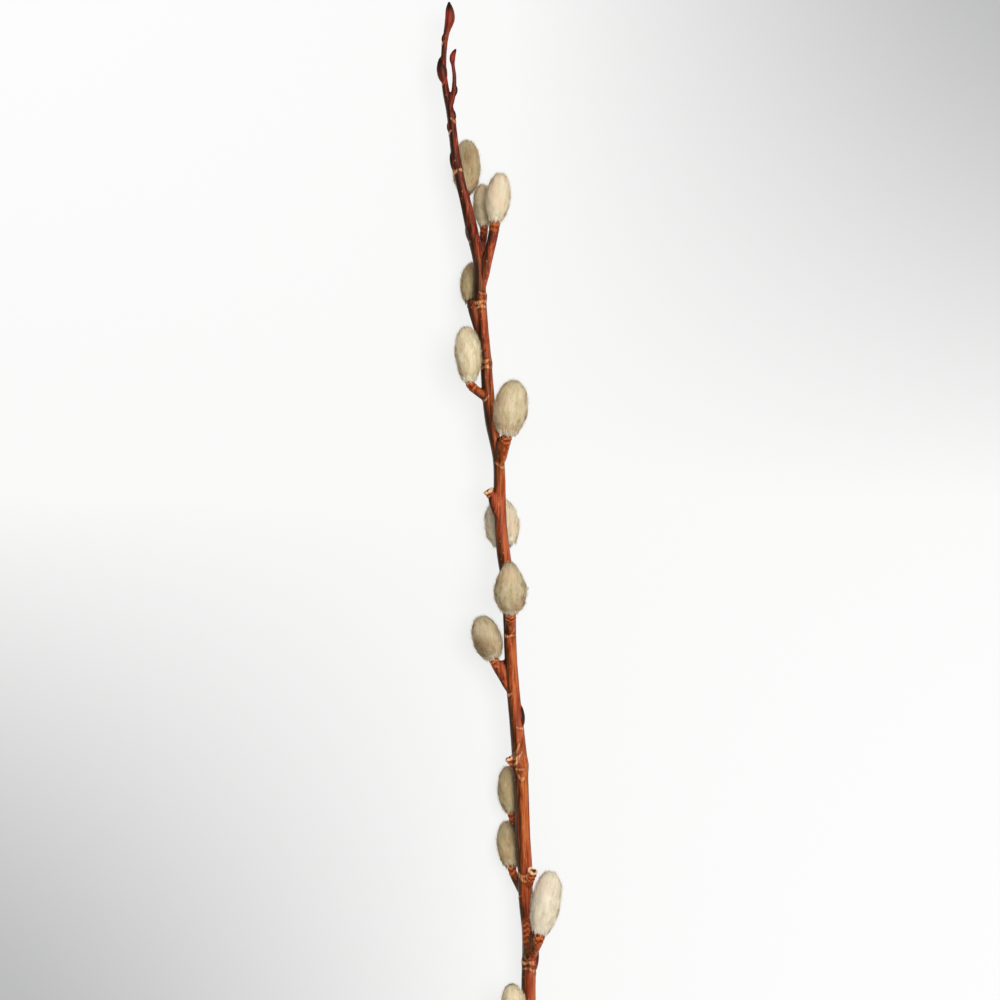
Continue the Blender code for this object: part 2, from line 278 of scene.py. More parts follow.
# The nodes: along, how far they stand out, half length
NODE_RINGS = [
    (92.0, 0.35, 1.8),
    (196.0, 0.30, 1.6),
    (279.0, 0.45, 3.0),
    (346.0, 0.25, 2.0),
    (448.0, 0.30, 1.5),
    (475.5, 0.45, 1.6),
    (529.0, 0.20, 1.5),
]


def read_route(route, along):
    """The route's columns at each place along it, on a smooth curve through its rows."""
    rows_along = route[:, 1]
    slopes = np.gradient(route, rows_along, axis=0)
    index = np.clip(np.searchsorted(rows_along, along, side="right") - 1, 0, len(route) - 2)
    step = (rows_along[index + 1] - rows_along[index])[:, None]
    part = (along[:, None] - rows_along[index][:, None]) / step
    rise = route[index + 1] - route[index]
    start_bend = slopes[index] * step - rise
    end_bend = rise - slopes[index + 1] * step
    bend = start_bend * (1 - part) + end_bend * part
    return route[index] + rise * part + part * (1 - part) * bend


stem_along = np.arange(0.0, STEM_ROUTE[-1, 1] + 0.01, STEM_STEP)
stem_rows = read_route(STEM_ROUTE, stem_along)
stem_radius = stem_rows[:, 3] / 2
for ring_along, rise, half_length in NODE_RINGS:
    stem_radius = stem_radius + rise * np.exp(-(((stem_along - ring_along) / half_length) ** 2))
print(f"{len(stem_along)} places on the stem, {2 * stem_radius.max():.1f} mm thick at most")

# %% [markdown]
# ## Woody tubes
# Stem, twig, spurs and stubs are all the same thing in wood: a round section
# carried along a line. At each place the section stands square to the line, on one
# direction across and one up. A ring of points there has the line's radius.

# %% A round section carried along a line
STEM_SIDES = 28
TWIG_SIDES = 16
TWIG_STEP = 0.6


def line_frame(line):
    """Directions ahead, across and up at each point of a line."""
    ahead = unit(np.gradient(line, axis=0))
    across = unit(np.cross(ahead, [0.0, 0.0, 1.0]))
    return ahead, across, np.cross(across, ahead)


def tube(line, radius, sides):
    """A closed tube: ring k holds line[k] + radius[k] * (across * cos a + up * sin a)."""
    across, up = line_frame(line)[1:]
    angle = np.linspace(0.0, 2 * math.pi, sides, endpoint=False)
    spokes = across[:, None] * np.cos(angle)[:, None] + up[:, None] * np.sin(angle)[:, None]
    rings = line[:, None] + radius[:, None, None] * spokes
    points = np.concatenate([rings.reshape(-1, 3), line[:1], line[-1:]])
    ring = np.arange(len(line) - 1)[:, None] * sides
    here = np.arange(sides)
    after = (here + 1) % sides
    wall = np.stack([ring + here, ring + sides + here, ring + sides + after, ring + after], axis=-1)
    first, last = len(points) - 2, len(points) - 1
    end_ring = (len(line) - 1) * sides
    start_cap = np.stack([np.full(sides, first), here, after], axis=-1)
    end_cap = np.stack([np.full(sides, last), end_ring + after, end_ring + here], axis=-1)
    return points, np.concatenate([split(wall.reshape(-1, 4)), start_cap, end_cap])


wood = []


def grow(line, radius, sides, kind):
    """Keep a tube's surface, and its line with its radius and kind for colouring later."""
    points, faces = tube(line, radius, sides)
    to_end = np.cumsum(np.linalg.norm(np.diff(line[::-1], axis=0, prepend=line[-1:]), axis=1))[::-1]
    wood.append({"points": points, "faces": faces, "line": line, "radius": radius,
                 "to_end": to_end, "kind": kind})


grow(stem_rows[:, :3], stem_radius, STEM_SIDES, "stem")
twig_along = np.arange(TWIG_ROUTE[0, 1], TWIG_ROUTE[-1, 1], TWIG_STEP)
twig_rows = read_route(TWIG_ROUTE, twig_along)
grow(twig_rows[:, :3], twig_rows[:, 3] / 2, TWIG_SIDES, "twig")
print("stem and twig are", sum(len(w["faces"]) for w in wood), "triangles so far")

# %% [markdown]
# ## Spurs and stubs
# A catkin doesn't sit on the stem itself, but on a short shoot that leaves it along
# its grain and bends out. Its line is a cubic: it starts along the stem and ends
# along the catkin. It thickens to a collar, and the relief below wrinkles that in
# rings, where the bud's scales were. Where a catkin has fallen, it ends in a stub.

# %% Spurs under the catkins, and stubs without one
# Per catkin from the cut end: where its spur leaves the stem, and the spur's radius
SPURS = [
    (97.0, 1.8),
    (138.0, 1.8),
    (155.0, 1.8),
    (196.0, 2.1),
    (222.0, 1.7),
    (247.0, 1.7),
    (308.0, 1.9),
    (333.0, 2.2),
    (357.0, 1.8),
    (404.0, 2.1),
    (432.0, 1.9),
    (463.0, 1.65),
    (489.0, 1.65),
    (476.0, 2.1),
    (509.0, 1.65),
]
# How far towards the stem's flank a spur starts, as a share of the stem's radius
FLANK = 0.5
COLLAR_LENGTH = 1.2
COLLAR_SWELLS = 0.45
# How far the collar reaches up into the catkin's fur
SUNK = 0.5
SPUR_RINGS = 28
COLLAR_RINGS = 6
SPUR_SIDES = 20
# The stubs: where each leaves the stem, its end, and its radius there
STUBS = [
    (386.0, (-5.0, 394.6, 20.2), 2.0),
    (226.0, (14.0, 235.0, 17.6), 2.1),
    (274.0, (3.6, 282.2, 16.8), 1.6),
    (60.0, (21.8, 67.0, 8.6), 1.6),
]


def spur_line(leaves_at, end, heading):
    """A cubic from inside the stem's flank to the collar, then straight on to the end."""
    neck_end = end - heading * COLLAR_LENGTH
    here, further = read_route(STEM_ROUTE, np.array([leaves_at, leaves_at + 4.0]))
    along_stem = unit(further[:3] - here[:3])
    away = neck_end - here[:3]
    flank = unit(away - along_stem * (away @ along_stem))
    start = here[:3] + flank * FLANK * here[3] / 2
    reach = np.linalg.norm(neck_end - start)
    part = np.linspace(0.0, 1.0, SPUR_RINGS)[:, None]
    at_end = 3 * part**2 - 2 * part**3
    middle = start * (1 - at_end) + neck_end * at_end
    middle = middle + along_stem * reach * (part**3 - 2 * part**2 + part)
    middle = middle + heading * reach * (part**3 - part**2)
    collar = neck_end + heading * np.linspace(0.15, 1.0, COLLAR_RINGS)[:, None] * COLLAR_LENGTH
    return np.concatenate([middle, collar])


def grow_spur(leaves_at, end, heading, neck, end_radius, kind):
    """One spur or stub: thin where it leaves the stem's inside, thickest at its end."""
    line = spur_line(leaves_at, end, heading)
    part = np.linspace(0.0, 1.0, len(line))
    radius = neck + (end_radius - neck) * part**5
    grow(line, radius * (0.45 + 0.55 * ease(0.0, 0.28, part)), SPUR_SIDES, kind)


for (leaves_at, neck), name in zip(SPURS, CATKIN_NAMES):
    base, heading = places[name][:2]
    grow_spur(leaves_at, base + heading * SUNK, heading, neck, neck + COLLAR_SWELLS, "spur")
for leaves_at, end, end_radius in STUBS:
    start = read_route(STEM_ROUTE, np.array([leaves_at]))[0, :3]
    grow_spur(leaves_at, np.array(end), unit(np.array(end) - start), 0.9 * end_radius, end_radius, "stub")
print(len(SPURS), "spurs and", len(STUBS), "stubs")

# %% [markdown]
# ## Wood in the forks
# Between a stem and its side shoot wood fills the fork, so the two part like a river
# and not like two pipes. A short thick tube laid in the fork does that, once all the
# wood gets one skin. Round one node a low swelling of wrinkled cork lies on the stem.

# %% Fill the forks
SHOULDER_RINGS = 24
SHOULDER_SIDES = 16
# Places in the middle of each fork's wood, and its radius there
SHOULDERS = [
    [(-9.2, 459.0, 18.2, 1.0), (-9.9, 465.0, 18.2, 1.9),
     (-11.2, 471.0, 18.0, 2.3), (-12.4, 475.0, 17.8, 1.7)],
    [(-0.6, 382.0, 19.0, 1.2), (-1.8, 387.0, 19.4, 2.0),
     (-2.9, 391.0, 19.8, 2.1), (-3.6, 393.6, 20.0, 1.4)],
    [(3.0, 312.0, 16.3, 1.2), (1.9, 316.5, 16.4, 1.9),
     (0.8, 320.0, 16.4, 1.9), (-0.1, 323.0, 16.4, 1.3)],
    [(12.4, 196.0, 14.0, 1.6), (13.0, 200.5, 14.9, 2.6),
     (13.9, 204.8, 16.3, 2.7), (15.1, 208.2, 18.4, 2.0)],
    [(-0.6, 406.5, 19.6, 1.3), (0.2, 410.5, 20.4, 2.0),
     (0.8, 414.5, 21.4, 2.0), (1.3, 417.0, 22.2, 1.4)],
]
CORK_RINGS = 30
CORK_SIDES = 20
CORK = [
    (12.4, 197.0, 13.4, 1.8),
    (12.2, 201.0, 14.5, 2.5),
    (12.1, 205.0, 14.9, 2.6),
    (11.9, 209.0, 14.6, 2.6),
    (11.7, 212.5, 14.3, 2.4),
    (11.6, 216.0, 13.6, 1.9),
]


def grow_through(places, rings, sides, kind):
    """A tube through a few places: across, along, up and radius at each."""
    places = np.array(places)
    rows = read_route(places, np.linspace(places[0, 1], places[-1, 1], rings))
    grow(rows[:, :3], rows[:, 3], sides, kind)


for shoulder in SHOULDERS:
    grow_through(shoulder, SHOULDER_RINGS, SHOULDER_SIDES, "stem")
grow_through(CORK, CORK_RINGS, CORK_SIDES, "cork")
print(len(SHOULDERS), "forks filled")

# %% [markdown]
# ## Buds
# A willow's resting bud is a smooth pointed hood pressed to the stem, flat behind
# and rounded in front. It is a sphere whose rings shrink to a point at the tip,
# squeezed thin, and leaning off the stem a little towards its tip. One young bud is
# still as red as the bark, and the side twig bears a bud that is a mere spindle.

# %% Buds pressed to the stem
BUD_RINGS = 26
BUD_SIDES = 18
# Along, side (0 faces right, 90 faces up), length, width, thickness, lean of the tip
BUDS = [
    (52.0, 200.0, 9.0, 4.2, 2.6, 0.04),
    (84.0, 100.0, 9.0, 4.0, 2.6, 0.03),
    (143.0, 250.0, 9.0, 3.8, 2.6, 0.04),
    (193.5, 8.0, 12.0, 3.8, 2.8, 0.05),
    (296.0, 12.0, 9.6, 3.8, 3.0, 0.04),
    (320.0, 262.0, 8.5, 3.4, 2.4, 0.03),
    (398.0, 265.0, 8.5, 3.4, 2.4, 0.03),
    (500.0, 215.0, 8.0, 3.2, 2.2, 0.04),
    (529.5, 175.0, 8.6, 3.0, 2.4, 0.05),
    (545.5, 185.0, 4.6, 2.2, 1.6, 0.04),
    (550.5, 20.0, 4.2, 2.0, 1.4, 0.08),
    (567.0, 178.0, 11.4, 3.5, 5.0, 0.04),
    (583.0, 182.0, 4.0, 2.0, 1.6, 0.04),
]


def grow_bud(along, side, length, width, thickness, lean, kind="bud"):
    """Ring k of a bud is an ellipse that narrows as (1 - part) ** 0.28 to its tip."""
    rows = read_route(STEM_ROUTE, np.array([along, along + 3.0]))
    ahead = unit(rows[1, :3] - rows[0, :3])
    across = unit(np.cross(ahead, [0.0, 0.0, 1.0]))
    up = np.cross(across, ahead)
    side = math.radians(side)
    out = across * math.cos(side) + up * math.sin(side)
    beside = np.cross(out, ahead)
    polar = np.linspace(0.02, math.pi, BUD_RINGS)
    turn = np.linspace(0.0, 2 * math.pi, BUD_SIDES, endpoint=False)
    part = ((1 - np.cos(polar)) / 2)[:, None]
    plump = np.sin(polar)[:, None] * 1.15 * (1 - part + 1e-6) ** 0.28 * part**0.08
    reach_out = np.cos(turn) * plump * thickness / 2 + lean * length * part
    reach_beside = np.sin(turn) * plump * width / 2
    reach_ahead = (part - 0.12) * length + 0 * turn
    middle = rows[0, :3] + out * (rows[0, 3] / 2 - 0.15 * thickness)
    rings = middle + reach_out[..., None] * out + reach_beside[..., None] * beside
    rings = rings + reach_ahead[..., None] * ahead
    points = np.concatenate([rings.reshape(-1, 3), rings[:1].mean(axis=1), rings[-1:].mean(axis=1)])
    faces = tube(np.linspace(middle, middle + ahead * length, BUD_RINGS), np.ones(BUD_RINGS), BUD_SIDES)[1]
    line = middle + ahead * (part - 0.12) * length + out * lean * length * part
    radius = plump[:, 0] * (width + thickness) / 4
    wood.append({"points": points, "faces": faces, "line": line, "radius": radius,
                 "to_end": length * (1 - part[:, 0]), "kind": kind})


for bud in BUDS:
    grow_bud(*bud)
grow_bud(453.0, 100.0, 6.0, 3.0, 1.4, 0.02, kind="stem")
TWIG_BUD = [
    (-19.1, 560.0, 17.8, 0.4),
    (-18.6, 561.6, 18.0, 0.8),
    (-18.3, 563.0, 18.2, 0.7),
    (-18.1, 564.2, 18.3, 0.2),
]
grow_through(TWIG_BUD, 16, 12, "bud")
print(len(BUDS) + 2, "buds")

# %% [markdown]
# ## Knots
# At a node the rod bulges to one side. Each knot is a spindle that lies half sunk
# in the stem along its skin, so that it swells and sinks again without an edge.

# %% Lopsided swellings at the nodes
KNOT_RINGS = 20
KNOT_SIDES = 16
# Along, side (0 faces right, 90 faces up), half length, radius, how far they stand out
KNOTS = [
    (279.5, 128.0, 7.0, 2.2, 0.9),
    (195.0, 40.0, 5.0, 2.4, 0.5),
    (346.0, 60.0, 4.0, 2.0, 0.4),
    (447.5, 60.0, 3.6, 1.8, 0.4),
    (474.0, 165.0, 3.6, 1.9, 0.6),
    (93.0, 150.0, 5.0, 2.4, 0.6),
]


def grow_knot(along, side, half_length, radius, rise):
    """A spindle along the stem's skin: its radius is a half circle's, radius * sqrt(1 - t * t)."""
    t = np.linspace(-0.98, 0.98, KNOT_RINGS)
    rows = read_route(STEM_ROUTE, along + half_length * t)
    ahead = unit(np.gradient(rows[:, :3], axis=0))
    across = unit(np.cross(ahead, [0.0, 0.0, 1.0]))
    out = across * math.cos(side) + np.cross(across, ahead) * math.sin(side)
    depth = rows[:, 3] / 2 - radius + rise * (1 - t**2)
    grow(rows[:, :3] + out * depth[:, None], radius * np.sqrt(1 - t**2), KNOT_SIDES, "stem")


for along, side, half_length, radius, rise in KNOTS:
    grow_knot(along, math.radians(side), half_length, radius, rise)
print(len(KNOTS), "knots")

# %% [markdown]
# ## Leaf scars and rings
# Each bud grew above a leaf, and the fallen leaf left a raised crescent under it,
# paler than the bark. It is a thin tube bent part of the way round the stem just
# below the bud or the spur, a little lower in the middle than at its horns. At the
# nodes the scales of old buds left the same, as rings that wander and lean.

# %% Crescents under the buds and the spurs, and rings at the nodes
SCAR_RADIUS = 0.36
SCAR_SPAN = math.radians(78)
SCAR_RINGS = 25
SCAR_SIDES = 10


def grow_scar(along, side, size, span=SCAR_SPAN, thick=SCAR_RADIUS, slant=0.0):
    """A crescent on the stem, centred on one side: lower at its middle by size, and wavy."""
    turn = np.linspace(-span, span, SCAR_RINGS)
    here = along - size * np.cos(turn * 0.5 * math.pi / span) + 0.40 * np.sin(3.3 * turn + along)
    here = here + slant * turn
    rows = read_route(STEM_ROUTE, here)
    ahead = unit(read_route(STEM_ROUTE, here + 1.0)[:, :3] - rows[:, :3])
    across = unit(np.cross(ahead, [0.0, 0.0, 1.0]))
    up = np.cross(across, ahead)
    angle = (side + turn)[:, None]
    surface = np.interp(here, stem_along, stem_radius)[:, None]
    line = rows[:, :3] + (across * np.cos(angle) + up * np.sin(angle)) * surface
    uneven = 0.8 + 0.4 * np.sin(5 * turn + 2 * along)
    grow(line, thick * np.cos(turn * 0.5 * math.pi / (span * 1.08)) * uneven, SCAR_SIDES, "scar")


for along, side, length, width, thickness, lean in BUDS:
    grow_scar(along - 0.02 * length, math.radians(side), 0.5 * width)
for (leaves_at, neck), name in zip(SPURS, CATKIN_NAMES):
    away = places[name][0] - read_route(STEM_ROUTE, np.array([leaves_at]))[0, :3]
    grow_scar(leaves_at + 2.2, math.atan2(away[2], away[0]), 1.8)
# Rings that bud scales left at the nodes: along, side, lower by, half span, radius, slant
NODE_SCARS = [
    (529.0, 60.0, 0.4, 95.0, 0.35, 0.2),
    (474.6, 95.0, 1.2, 115.0, 0.62, 0.2),
    (472.0, 70.0, 0.6, 70.0, 0.38, -0.3),
    (449.2, 80.0, 0.3, 110.0, 0.48, 0.1),
    (446.4, 75.0, 0.3, 100.0, 0.44, -0.1),
    (346.5, 80.0, 0.5, 110.0, 0.40, 0.3),
    (344.6, 110.0, 0.4, 70.0, 0.32, -0.3),
    (286.2, 122.0, 1.8, 44.0, 0.62, -2.4),
    (283.6, 114.0, 1.4, 50.0, 0.58, -2.0),
    (281.2, 128.0, 1.0, 30.0, 0.50, -1.2),
    (278.2, 98.0, 1.0, 34.0, 0.50, 0.9),
    (275.0, 88.0, 1.2, 24.0, 0.52, 1.8),
    (234.6, 92.0, 2.4, 62.0, 0.55, 0.0),
    (232.2, 96.0, 1.6, 50.0, 0.42, 0.2),
    (210.2, 98.0, 0.5, 34.0, 0.36, 0.8),
    (208.0, 108.0, 0.5, 30.0, 0.38, -0.6),
    (206.0, 92.0, 0.4, 30.0, 0.34, 0.5),
    (196.5, 85.0, 0.8, 115.0, 0.48, 0.3),
    (193.8, 60.0, 0.6, 80.0, 0.38, -0.3),
    (92.5, 90.0, 0.5, 110.0, 0.42, 0.2),
]
for along, side, size, span, thick, slant in NODE_SCARS:
    grow_scar(along, math.radians(side), size, math.radians(span), thick, slant)
print(sum(w["kind"] == "scar" for w in wood), "leaf scars and rings")

# %% [markdown]
# ## The slanting cut
# The lower end was cut with one stroke of a knife, so it is a flat slanting face,
# and the rod bears on the surface with a little flat. Both are made on the tubes:
# points beyond the cut's plane slide back onto it along the stem, and points under
# the surface come up to it. The solid ends in the same two planes.

# %% Trim the stem's tube
CUT_POINT = np.array([20.5, 4.0, 3.4])
CUT_FACES = np.array([0.25, -1.0, 0.62])
cut_normal = CUT_FACES / np.linalg.norm(CUT_FACES)


def past_cut(points):
    """How far points lie beyond the cut's plane, in millimetres; negative inside the wood."""
    return (points - CUT_POINT) @ cut_normal


rod = wood[0]["points"]
rod[:, 1] += np.maximum(past_cut(rod), 0.0) / -cut_normal[1] * (rod[:, 1] < 20.0)
rod[:, 2] = np.maximum(rod[:, 2], 0.0)
print("the cut reaches from", rod[:, 1].min().round(1), "mm")

# %% [markdown]
# ## One skin over all the wood
# On the real branch the bark runs on from stem to spur without a seam. Joining the
# tubes and remeshing them on a fine grid gives one skin with soft forks, which a
# Boolean union wouldn't. A few rounds of smoothing take off the grid's steps.

# %% Join the tubes and remesh them
VOXEL = 0.43


def joined(parts):
    """All the parts' points and faces as one pair of arrays."""
    shift = np.cumsum([0] + [len(part["points"]) for part in parts[:-1]])
    points = np.concatenate([part["points"] for part in parts])
    return points, np.concatenate([part["faces"] + start for part, start in zip(parts, shift)])


bark, bark_tree, bark_shader = new_material("willow bark, smooth young rod")
rough_points, rough_faces = joined(wood)
rough = new_object("rough_wood", in_metres(rough_points), rough_faces, bark, {})
remesh = rough.modifiers.new("one skin", "REMESH")
remesh.mode = "VOXEL"
remesh.voxel_size = VOXEL * MM
soften = rough.modifiers.new("soften", "SMOOTH")
soften.factor = 0.5
soften.iterations = 4
skin = bpy.data.meshes.new_from_object(rough.evaluated_get(bpy.context.evaluated_depsgraph_get()))
bpy.data.objects.remove(rough)


def read_points(mesh, what, key):
    """A mesh's point places or normals as an array of rows."""
    numbers = np.empty(len(mesh.vertices) * 3)
    getattr(mesh, what).foreach_get(key, numbers)
    return numbers.reshape(-1, 3)


skin_points = read_points(skin, "vertices", "co") / MM + MIDDLE
skin_normals = read_points(skin, "vertices", "normal")
skin_faces = np.empty(len(skin.loops), dtype=np.int32)
skin.loops.foreach_get("vertex_index", skin_faces)
skin_faces = split(skin_faces.reshape(-1, 4))
bpy.data.meshes.remove(skin)
print(len(skin_points), "points and", len(skin_faces), "triangles in the skin")

# %% [markdown]
# ## Where each point of the skin is
# The colour and the relief depend on which tube a point lies on, how far along it,
# and on which side. Each point takes the nearest sample of the tubes' lines, where
# near means the distance to the line less the line's radius.

# %% Find each skin point's line
KINDS = ["stem", "twig", "spur", "stub", "bud", "scar", "cork"]
samples = np.concatenate([part["line"] for part in wood])
sample_radius = np.concatenate([part["radius"] for part in wood])
sample_to_end = np.concatenate([part["to_end"] for part in wood])
sample_kind = np.concatenate([np.full(len(part["line"]), KINDS.index(part["kind"])) for part in wood])


def nearest(points, lines, radius):
    """For each point, the line sample with the least distance less radius, and that value."""
    index = np.empty(len(points), dtype=int)
    gap = np.empty(len(points))
    for start in range(0, len(points), 4000):
        block = points[start:start + 4000]
        square = (block**2).sum(1)[:, None] - 2 * block @ lines.T + (lines**2).sum(1)
        clear = np.sqrt(np.maximum(square, 0.0)) - radius
        index[start:start + 4000] = clear.argmin(axis=1)
        gap[start:start + 4000] = clear.min(axis=1)
    return index, gap


def closeness(kind, reach):
    """1 on the surface of that kind of wood, falling to 0 at reach from it."""
    chosen = sample_kind == KINDS.index(kind)
    gap = nearest(skin_points, samples[chosen], sample_radius[chosen])[1]
    return 1 - ease(0.0, reach, gap)


owner = nearest(skin_points, samples, sample_radius)[0]
from_line = np.linalg.norm(skin_points - samples[owner], axis=1) / np.maximum(sample_radius[owner], 0.1)
owner_kind = sample_kind[owner]
to_end = sample_to_end[owner]
for number, kind in enumerate(KINDS):
    print(f"{kind}: {np.mean(owner_kind == number):.1%} of the skin")

# %% [markdown]
# ## Relief of the bark
# Young willow bark is smooth, with low ridges along the grain that turn slowly round
# the rod. They are sines of the angle round the stem plus the distance along it. The
# collars get rings where the bud's scales were. One even wave would look like a
# screw's thread, so two waves, 2.2 and 1.3 mm long, wander across one another.

# %% Raise the ridges and the collars' rings
# Ridges round the stem, height, the length in which they turn once, start
RIDGES = [
    (4, 0.050, 70.0, 0.3),
    (7, 0.040, -48.0, 1.7),
    (11, 0.030, 33.0, 4.1),
    (17, 0.020, -21.0, 2.2),
]
RING_SPACING = 2.2
FINE_RING_SPACING = 1.3
RING_HEIGHT = 0.20
TORN_HEIGHT = 0.35
# How strongly the cork round the node is wrinkled, beside a collar
CORK_SHARE = 0.65

ahead, across, up = line_frame(stem_rows[:, :3])
x, y, z = skin_points.T
on_stem = np.clip(np.searchsorted(stem_along, y), 0, len(stem_along) - 1)
from_axis = skin_points - stem_rows[on_stem, :3]
side = np.arctan2((from_axis * up[on_stem]).sum(1), (from_axis * across[on_stem]).sum(1))
relief = np.zeros(len(skin_points))
for count, height, turn_length, start in RIDGES:
    wander = 1.5 * np.sin(y / 23.0 + count)
    relief += height * np.sin(count * side + 2 * math.pi * y / turn_length + wander + start)
relief *= owner_kind == KINDS.index("stem")
short_shoot = np.isin(owner_kind, [KINDS.index("spur"), KINDS.index("stub")])
collar = short_shoot * (1 - ease(3.0, 7.2, to_end))
collar = np.maximum(collar, CORK_SHARE * closeness("cork", 0.5) * ease(201.0, 206.0, y))
wobble = 1.1 * np.sin(2.3 * x) + 0.8 * np.sin(1.9 * z + 1.0)
ring = 0.6 * np.cos(2 * math.pi * to_end / RING_SPACING + wobble)
ring = ring + 0.4 * np.cos(2 * math.pi * to_end / FINE_RING_SPACING - 1.4 * wobble + 1.9 * x)
relief += collar * RING_HEIGHT * ring
stub_end = (owner_kind == KINDS.index("stub")) * (1 - ease(0.4, 1.6, to_end))
relief += stub_end * TORN_HEIGHT * np.sin(3.4 * x + 2.9 * z + 1.7 * y)
near_cut = np.abs(past_cut(skin_points)) < 0.5
on_cut = near_cut & (skin_normals @ cut_normal > 0.6) & (y < 20)
print(f"relief from {relief.min():.2f} to {relief.max():.2f} mm, {on_cut.sum()} points on the cut")
relief[on_cut] = -past_cut(skin_points)[on_cut]
skin_points = skin_points + skin_normals * relief[:, None]
skin_points[:, 2] = np.maximum(skin_points[:, 2], 0.0)

# %% [markdown]
# ## Hollows and shadowed places
# Painted shade darkens the skin where it is hollow, as in a fork. The mean of a point's
# neighbours lies outside the skin there, so how far out it lies is a measure of the
# hollow. Painted shadows, where the bark lay in shade, are laid out one by one.

# %% Find the hollows, and lay out the painted shadows
# Painted shadows of catkins and bends on the bark: along, side, half length, half width, depth
SHADOW_BLOTCHES = [
    (558.0, 30.0, 5.0, 1.6, 0.80),
    (533.0, 20.0, 4.0, 1.8, 0.70),
    (516.0, 150.0, 6.0, 1.6, 0.60),
    (479.0, 128.0, 2.4, 2.4, 1.00),
    (462.0, 160.0, 6.5, 1.7, 0.75),
    (424.0, 135.0, 11.0, 2.4, 0.85),
    (404.0, 150.0, 8.0, 1.8, 0.60),
    (365.0, 140.0, 4.0, 2.6, 0.60),
    (331.0, 165.0, 9.0, 1.8, 0.55),
    (300.0, 165.0, 7.0, 1.8, 0.60),
    (283.8, 140.0, 1.6, 2.2, 0.85),
    (251.0, 160.0, 12.0, 2.0, 0.65),
    (214.0, 165.0, 9.0, 2.0, 0.60),
]


def neighbour_mean(values, faces):
    """The mean of each point's neighbours' values: one sum over all the triangles' edges."""
    pairs = np.concatenate([faces[:, [0, 1]], faces[:, [1, 2]], faces[:, [2, 0]]])
    pairs = np.concatenate([pairs, pairs[:, ::-1]])
    count = np.bincount(pairs[:, 0], minlength=len(values))
    sums = [np.bincount(pairs[:, 0], column[pairs[:, 1]], len(values)) for column in values.T]
    return np.stack(sums, axis=1) / count[:, None]


# Painted shade in hollows: how far the neighbours' mean lies outside the skin
to_neighbours = neighbour_mean(skin_points, skin_faces) - skin_points
hollowness = (to_neighbours * skin_normals).sum(axis=1)[:, None]
for _ in range(3):
    hollowness = neighbour_mean(hollowness, skin_faces)
crease_shade = ease(0.006, 0.035, hollowness[:, 0])
y = skin_points[:, 1]
shadow_blotch = np.zeros(len(skin_points))
for along, turned, half_length, reach, depth in SHADOW_BLOTCHES:
    beside = np.sin(0.5 * (side - math.radians(turned))) * 2 * stem_radius[on_stem]
    far = ((y - along) / half_length) ** 2 + (beside / reach) ** 2
    shadow_blotch = np.maximum(shadow_blotch, depth * np.exp(-far))
print(f"{np.mean(crease_shade > 0.5):.1%} of the skin lies in a hollow, {np.mean(shadow_blotch > 0.3):.1%} is blackened")

# %% [markdown]
# ## Numbers on the skin for the bark's finish
# The material reads these at each point. Some say what it is part of: scar, collar,
# bud, black tip, a stub's torn rim, the cut wood. Others say how near the pith is and
# how deep the crimson is along the rod. Painted shade lies round the scars, in hollows,
# in a stub's end and in shadowed places. One number, for the sun side that reddens, also
# paints light on the side the light comes from and shade on the far flanks.

# %% Make the stem
# The side the light comes from: the bark is painted lighter there and darker away from it, over the real
# reddening of the sun side
SUN_AND_LIGHT_SIDE = unit(np.array([0.85, 0.0, 0.5]))

on_twig, on_stub, on_bud = [owner_kind == KINDS.index(kind) for kind in ("twig", "stub", "bud")]
rim = closeness("scar", 0.45)
# Painted shade: a dark band round each raised scar
scar_shade = closeness("scar", 1.3) * (1 - rim)
deep = ease(395.0, 470.0, y) * (0.5 + 0.5 * ease(486.0, 506.0, y))
deep = deep + 0.35 * ease(512.0, 540.0, y) - 0.45 * ease(560.0, 585.0, y)
deep = np.where(on_twig, 1.3, deep)
bud = np.maximum(closeness("bud", 0.6), ease(586.5, 592.5, y))
bud = np.maximum(bud, on_twig * (1 - 0.35 * ease(4.0, 6.0, to_end)))
black = np.maximum.reduce([
    on_bud * (1 - 0.5 * ease(2.5, 10.0, to_end)),
    on_twig * (1 - ease(0.5, 3.0, to_end)),
    ease(594.5, 598.0, y),
])
torn = on_stub * (1 - ease(0.5, 1.1, to_end)) * ease(0.5, 0.75, from_line)
# Painted shade: a dark middle on each stub's end, for a hollow that the skin doesn't have
stub_end_shade = on_stub * (to_end < 0.3) * (1 - ease(0.45, 0.7, from_line))
pith_line = read_route(STEM_ROUTE, np.clip(y, 0.0, STEM_ROUTE[-1, 1]))[:, :3]
skin_numbers = {
    "rim": rim,
    "scar_shade": scar_shade,
    "collar": collar,
    "wrinkle": 0.5 + 0.5 * ring,
    "torn": torn,
    "deep": deep,
    "crease_shade": crease_shade,
    "bud": bud,
    "black": black,
    "stub_end_shade": stub_end_shade,
    "cut_wood": on_cut * 1.0,
    "from_pith": np.linalg.norm(skin_points - pith_line, axis=1),
    # Painted light and shade: lighter towards the light, darker away from it and again on the far right
    # flank
    "sun_and_light_side": 0.5 + 0.5 * (skin_normals @ SUN_AND_LIGHT_SIDE) - 0.30 * ease(0.70, 1.0, skin_normals[:, 0]),
    "shadow_blotch": shadow_blotch,
}
stem = new_object("stem_bark", in_metres(skin_points), skin_faces, bark, skin_numbers)
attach(stem, "root")
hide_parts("stem")
print(len(stem.data.polygons), "triangles on the stem")

# %% [markdown]
# ## Patterns in the bark
# The colour of bark runs along the grain, so each noise is stretched that way: fine
# streaks, broader patches, and slow changes from brown to red. Round pores of pale
# cork, through which the bark breathes, come from a cell pattern. All are sized in
# millimetres, so that they stay right when the branch is seen close up.

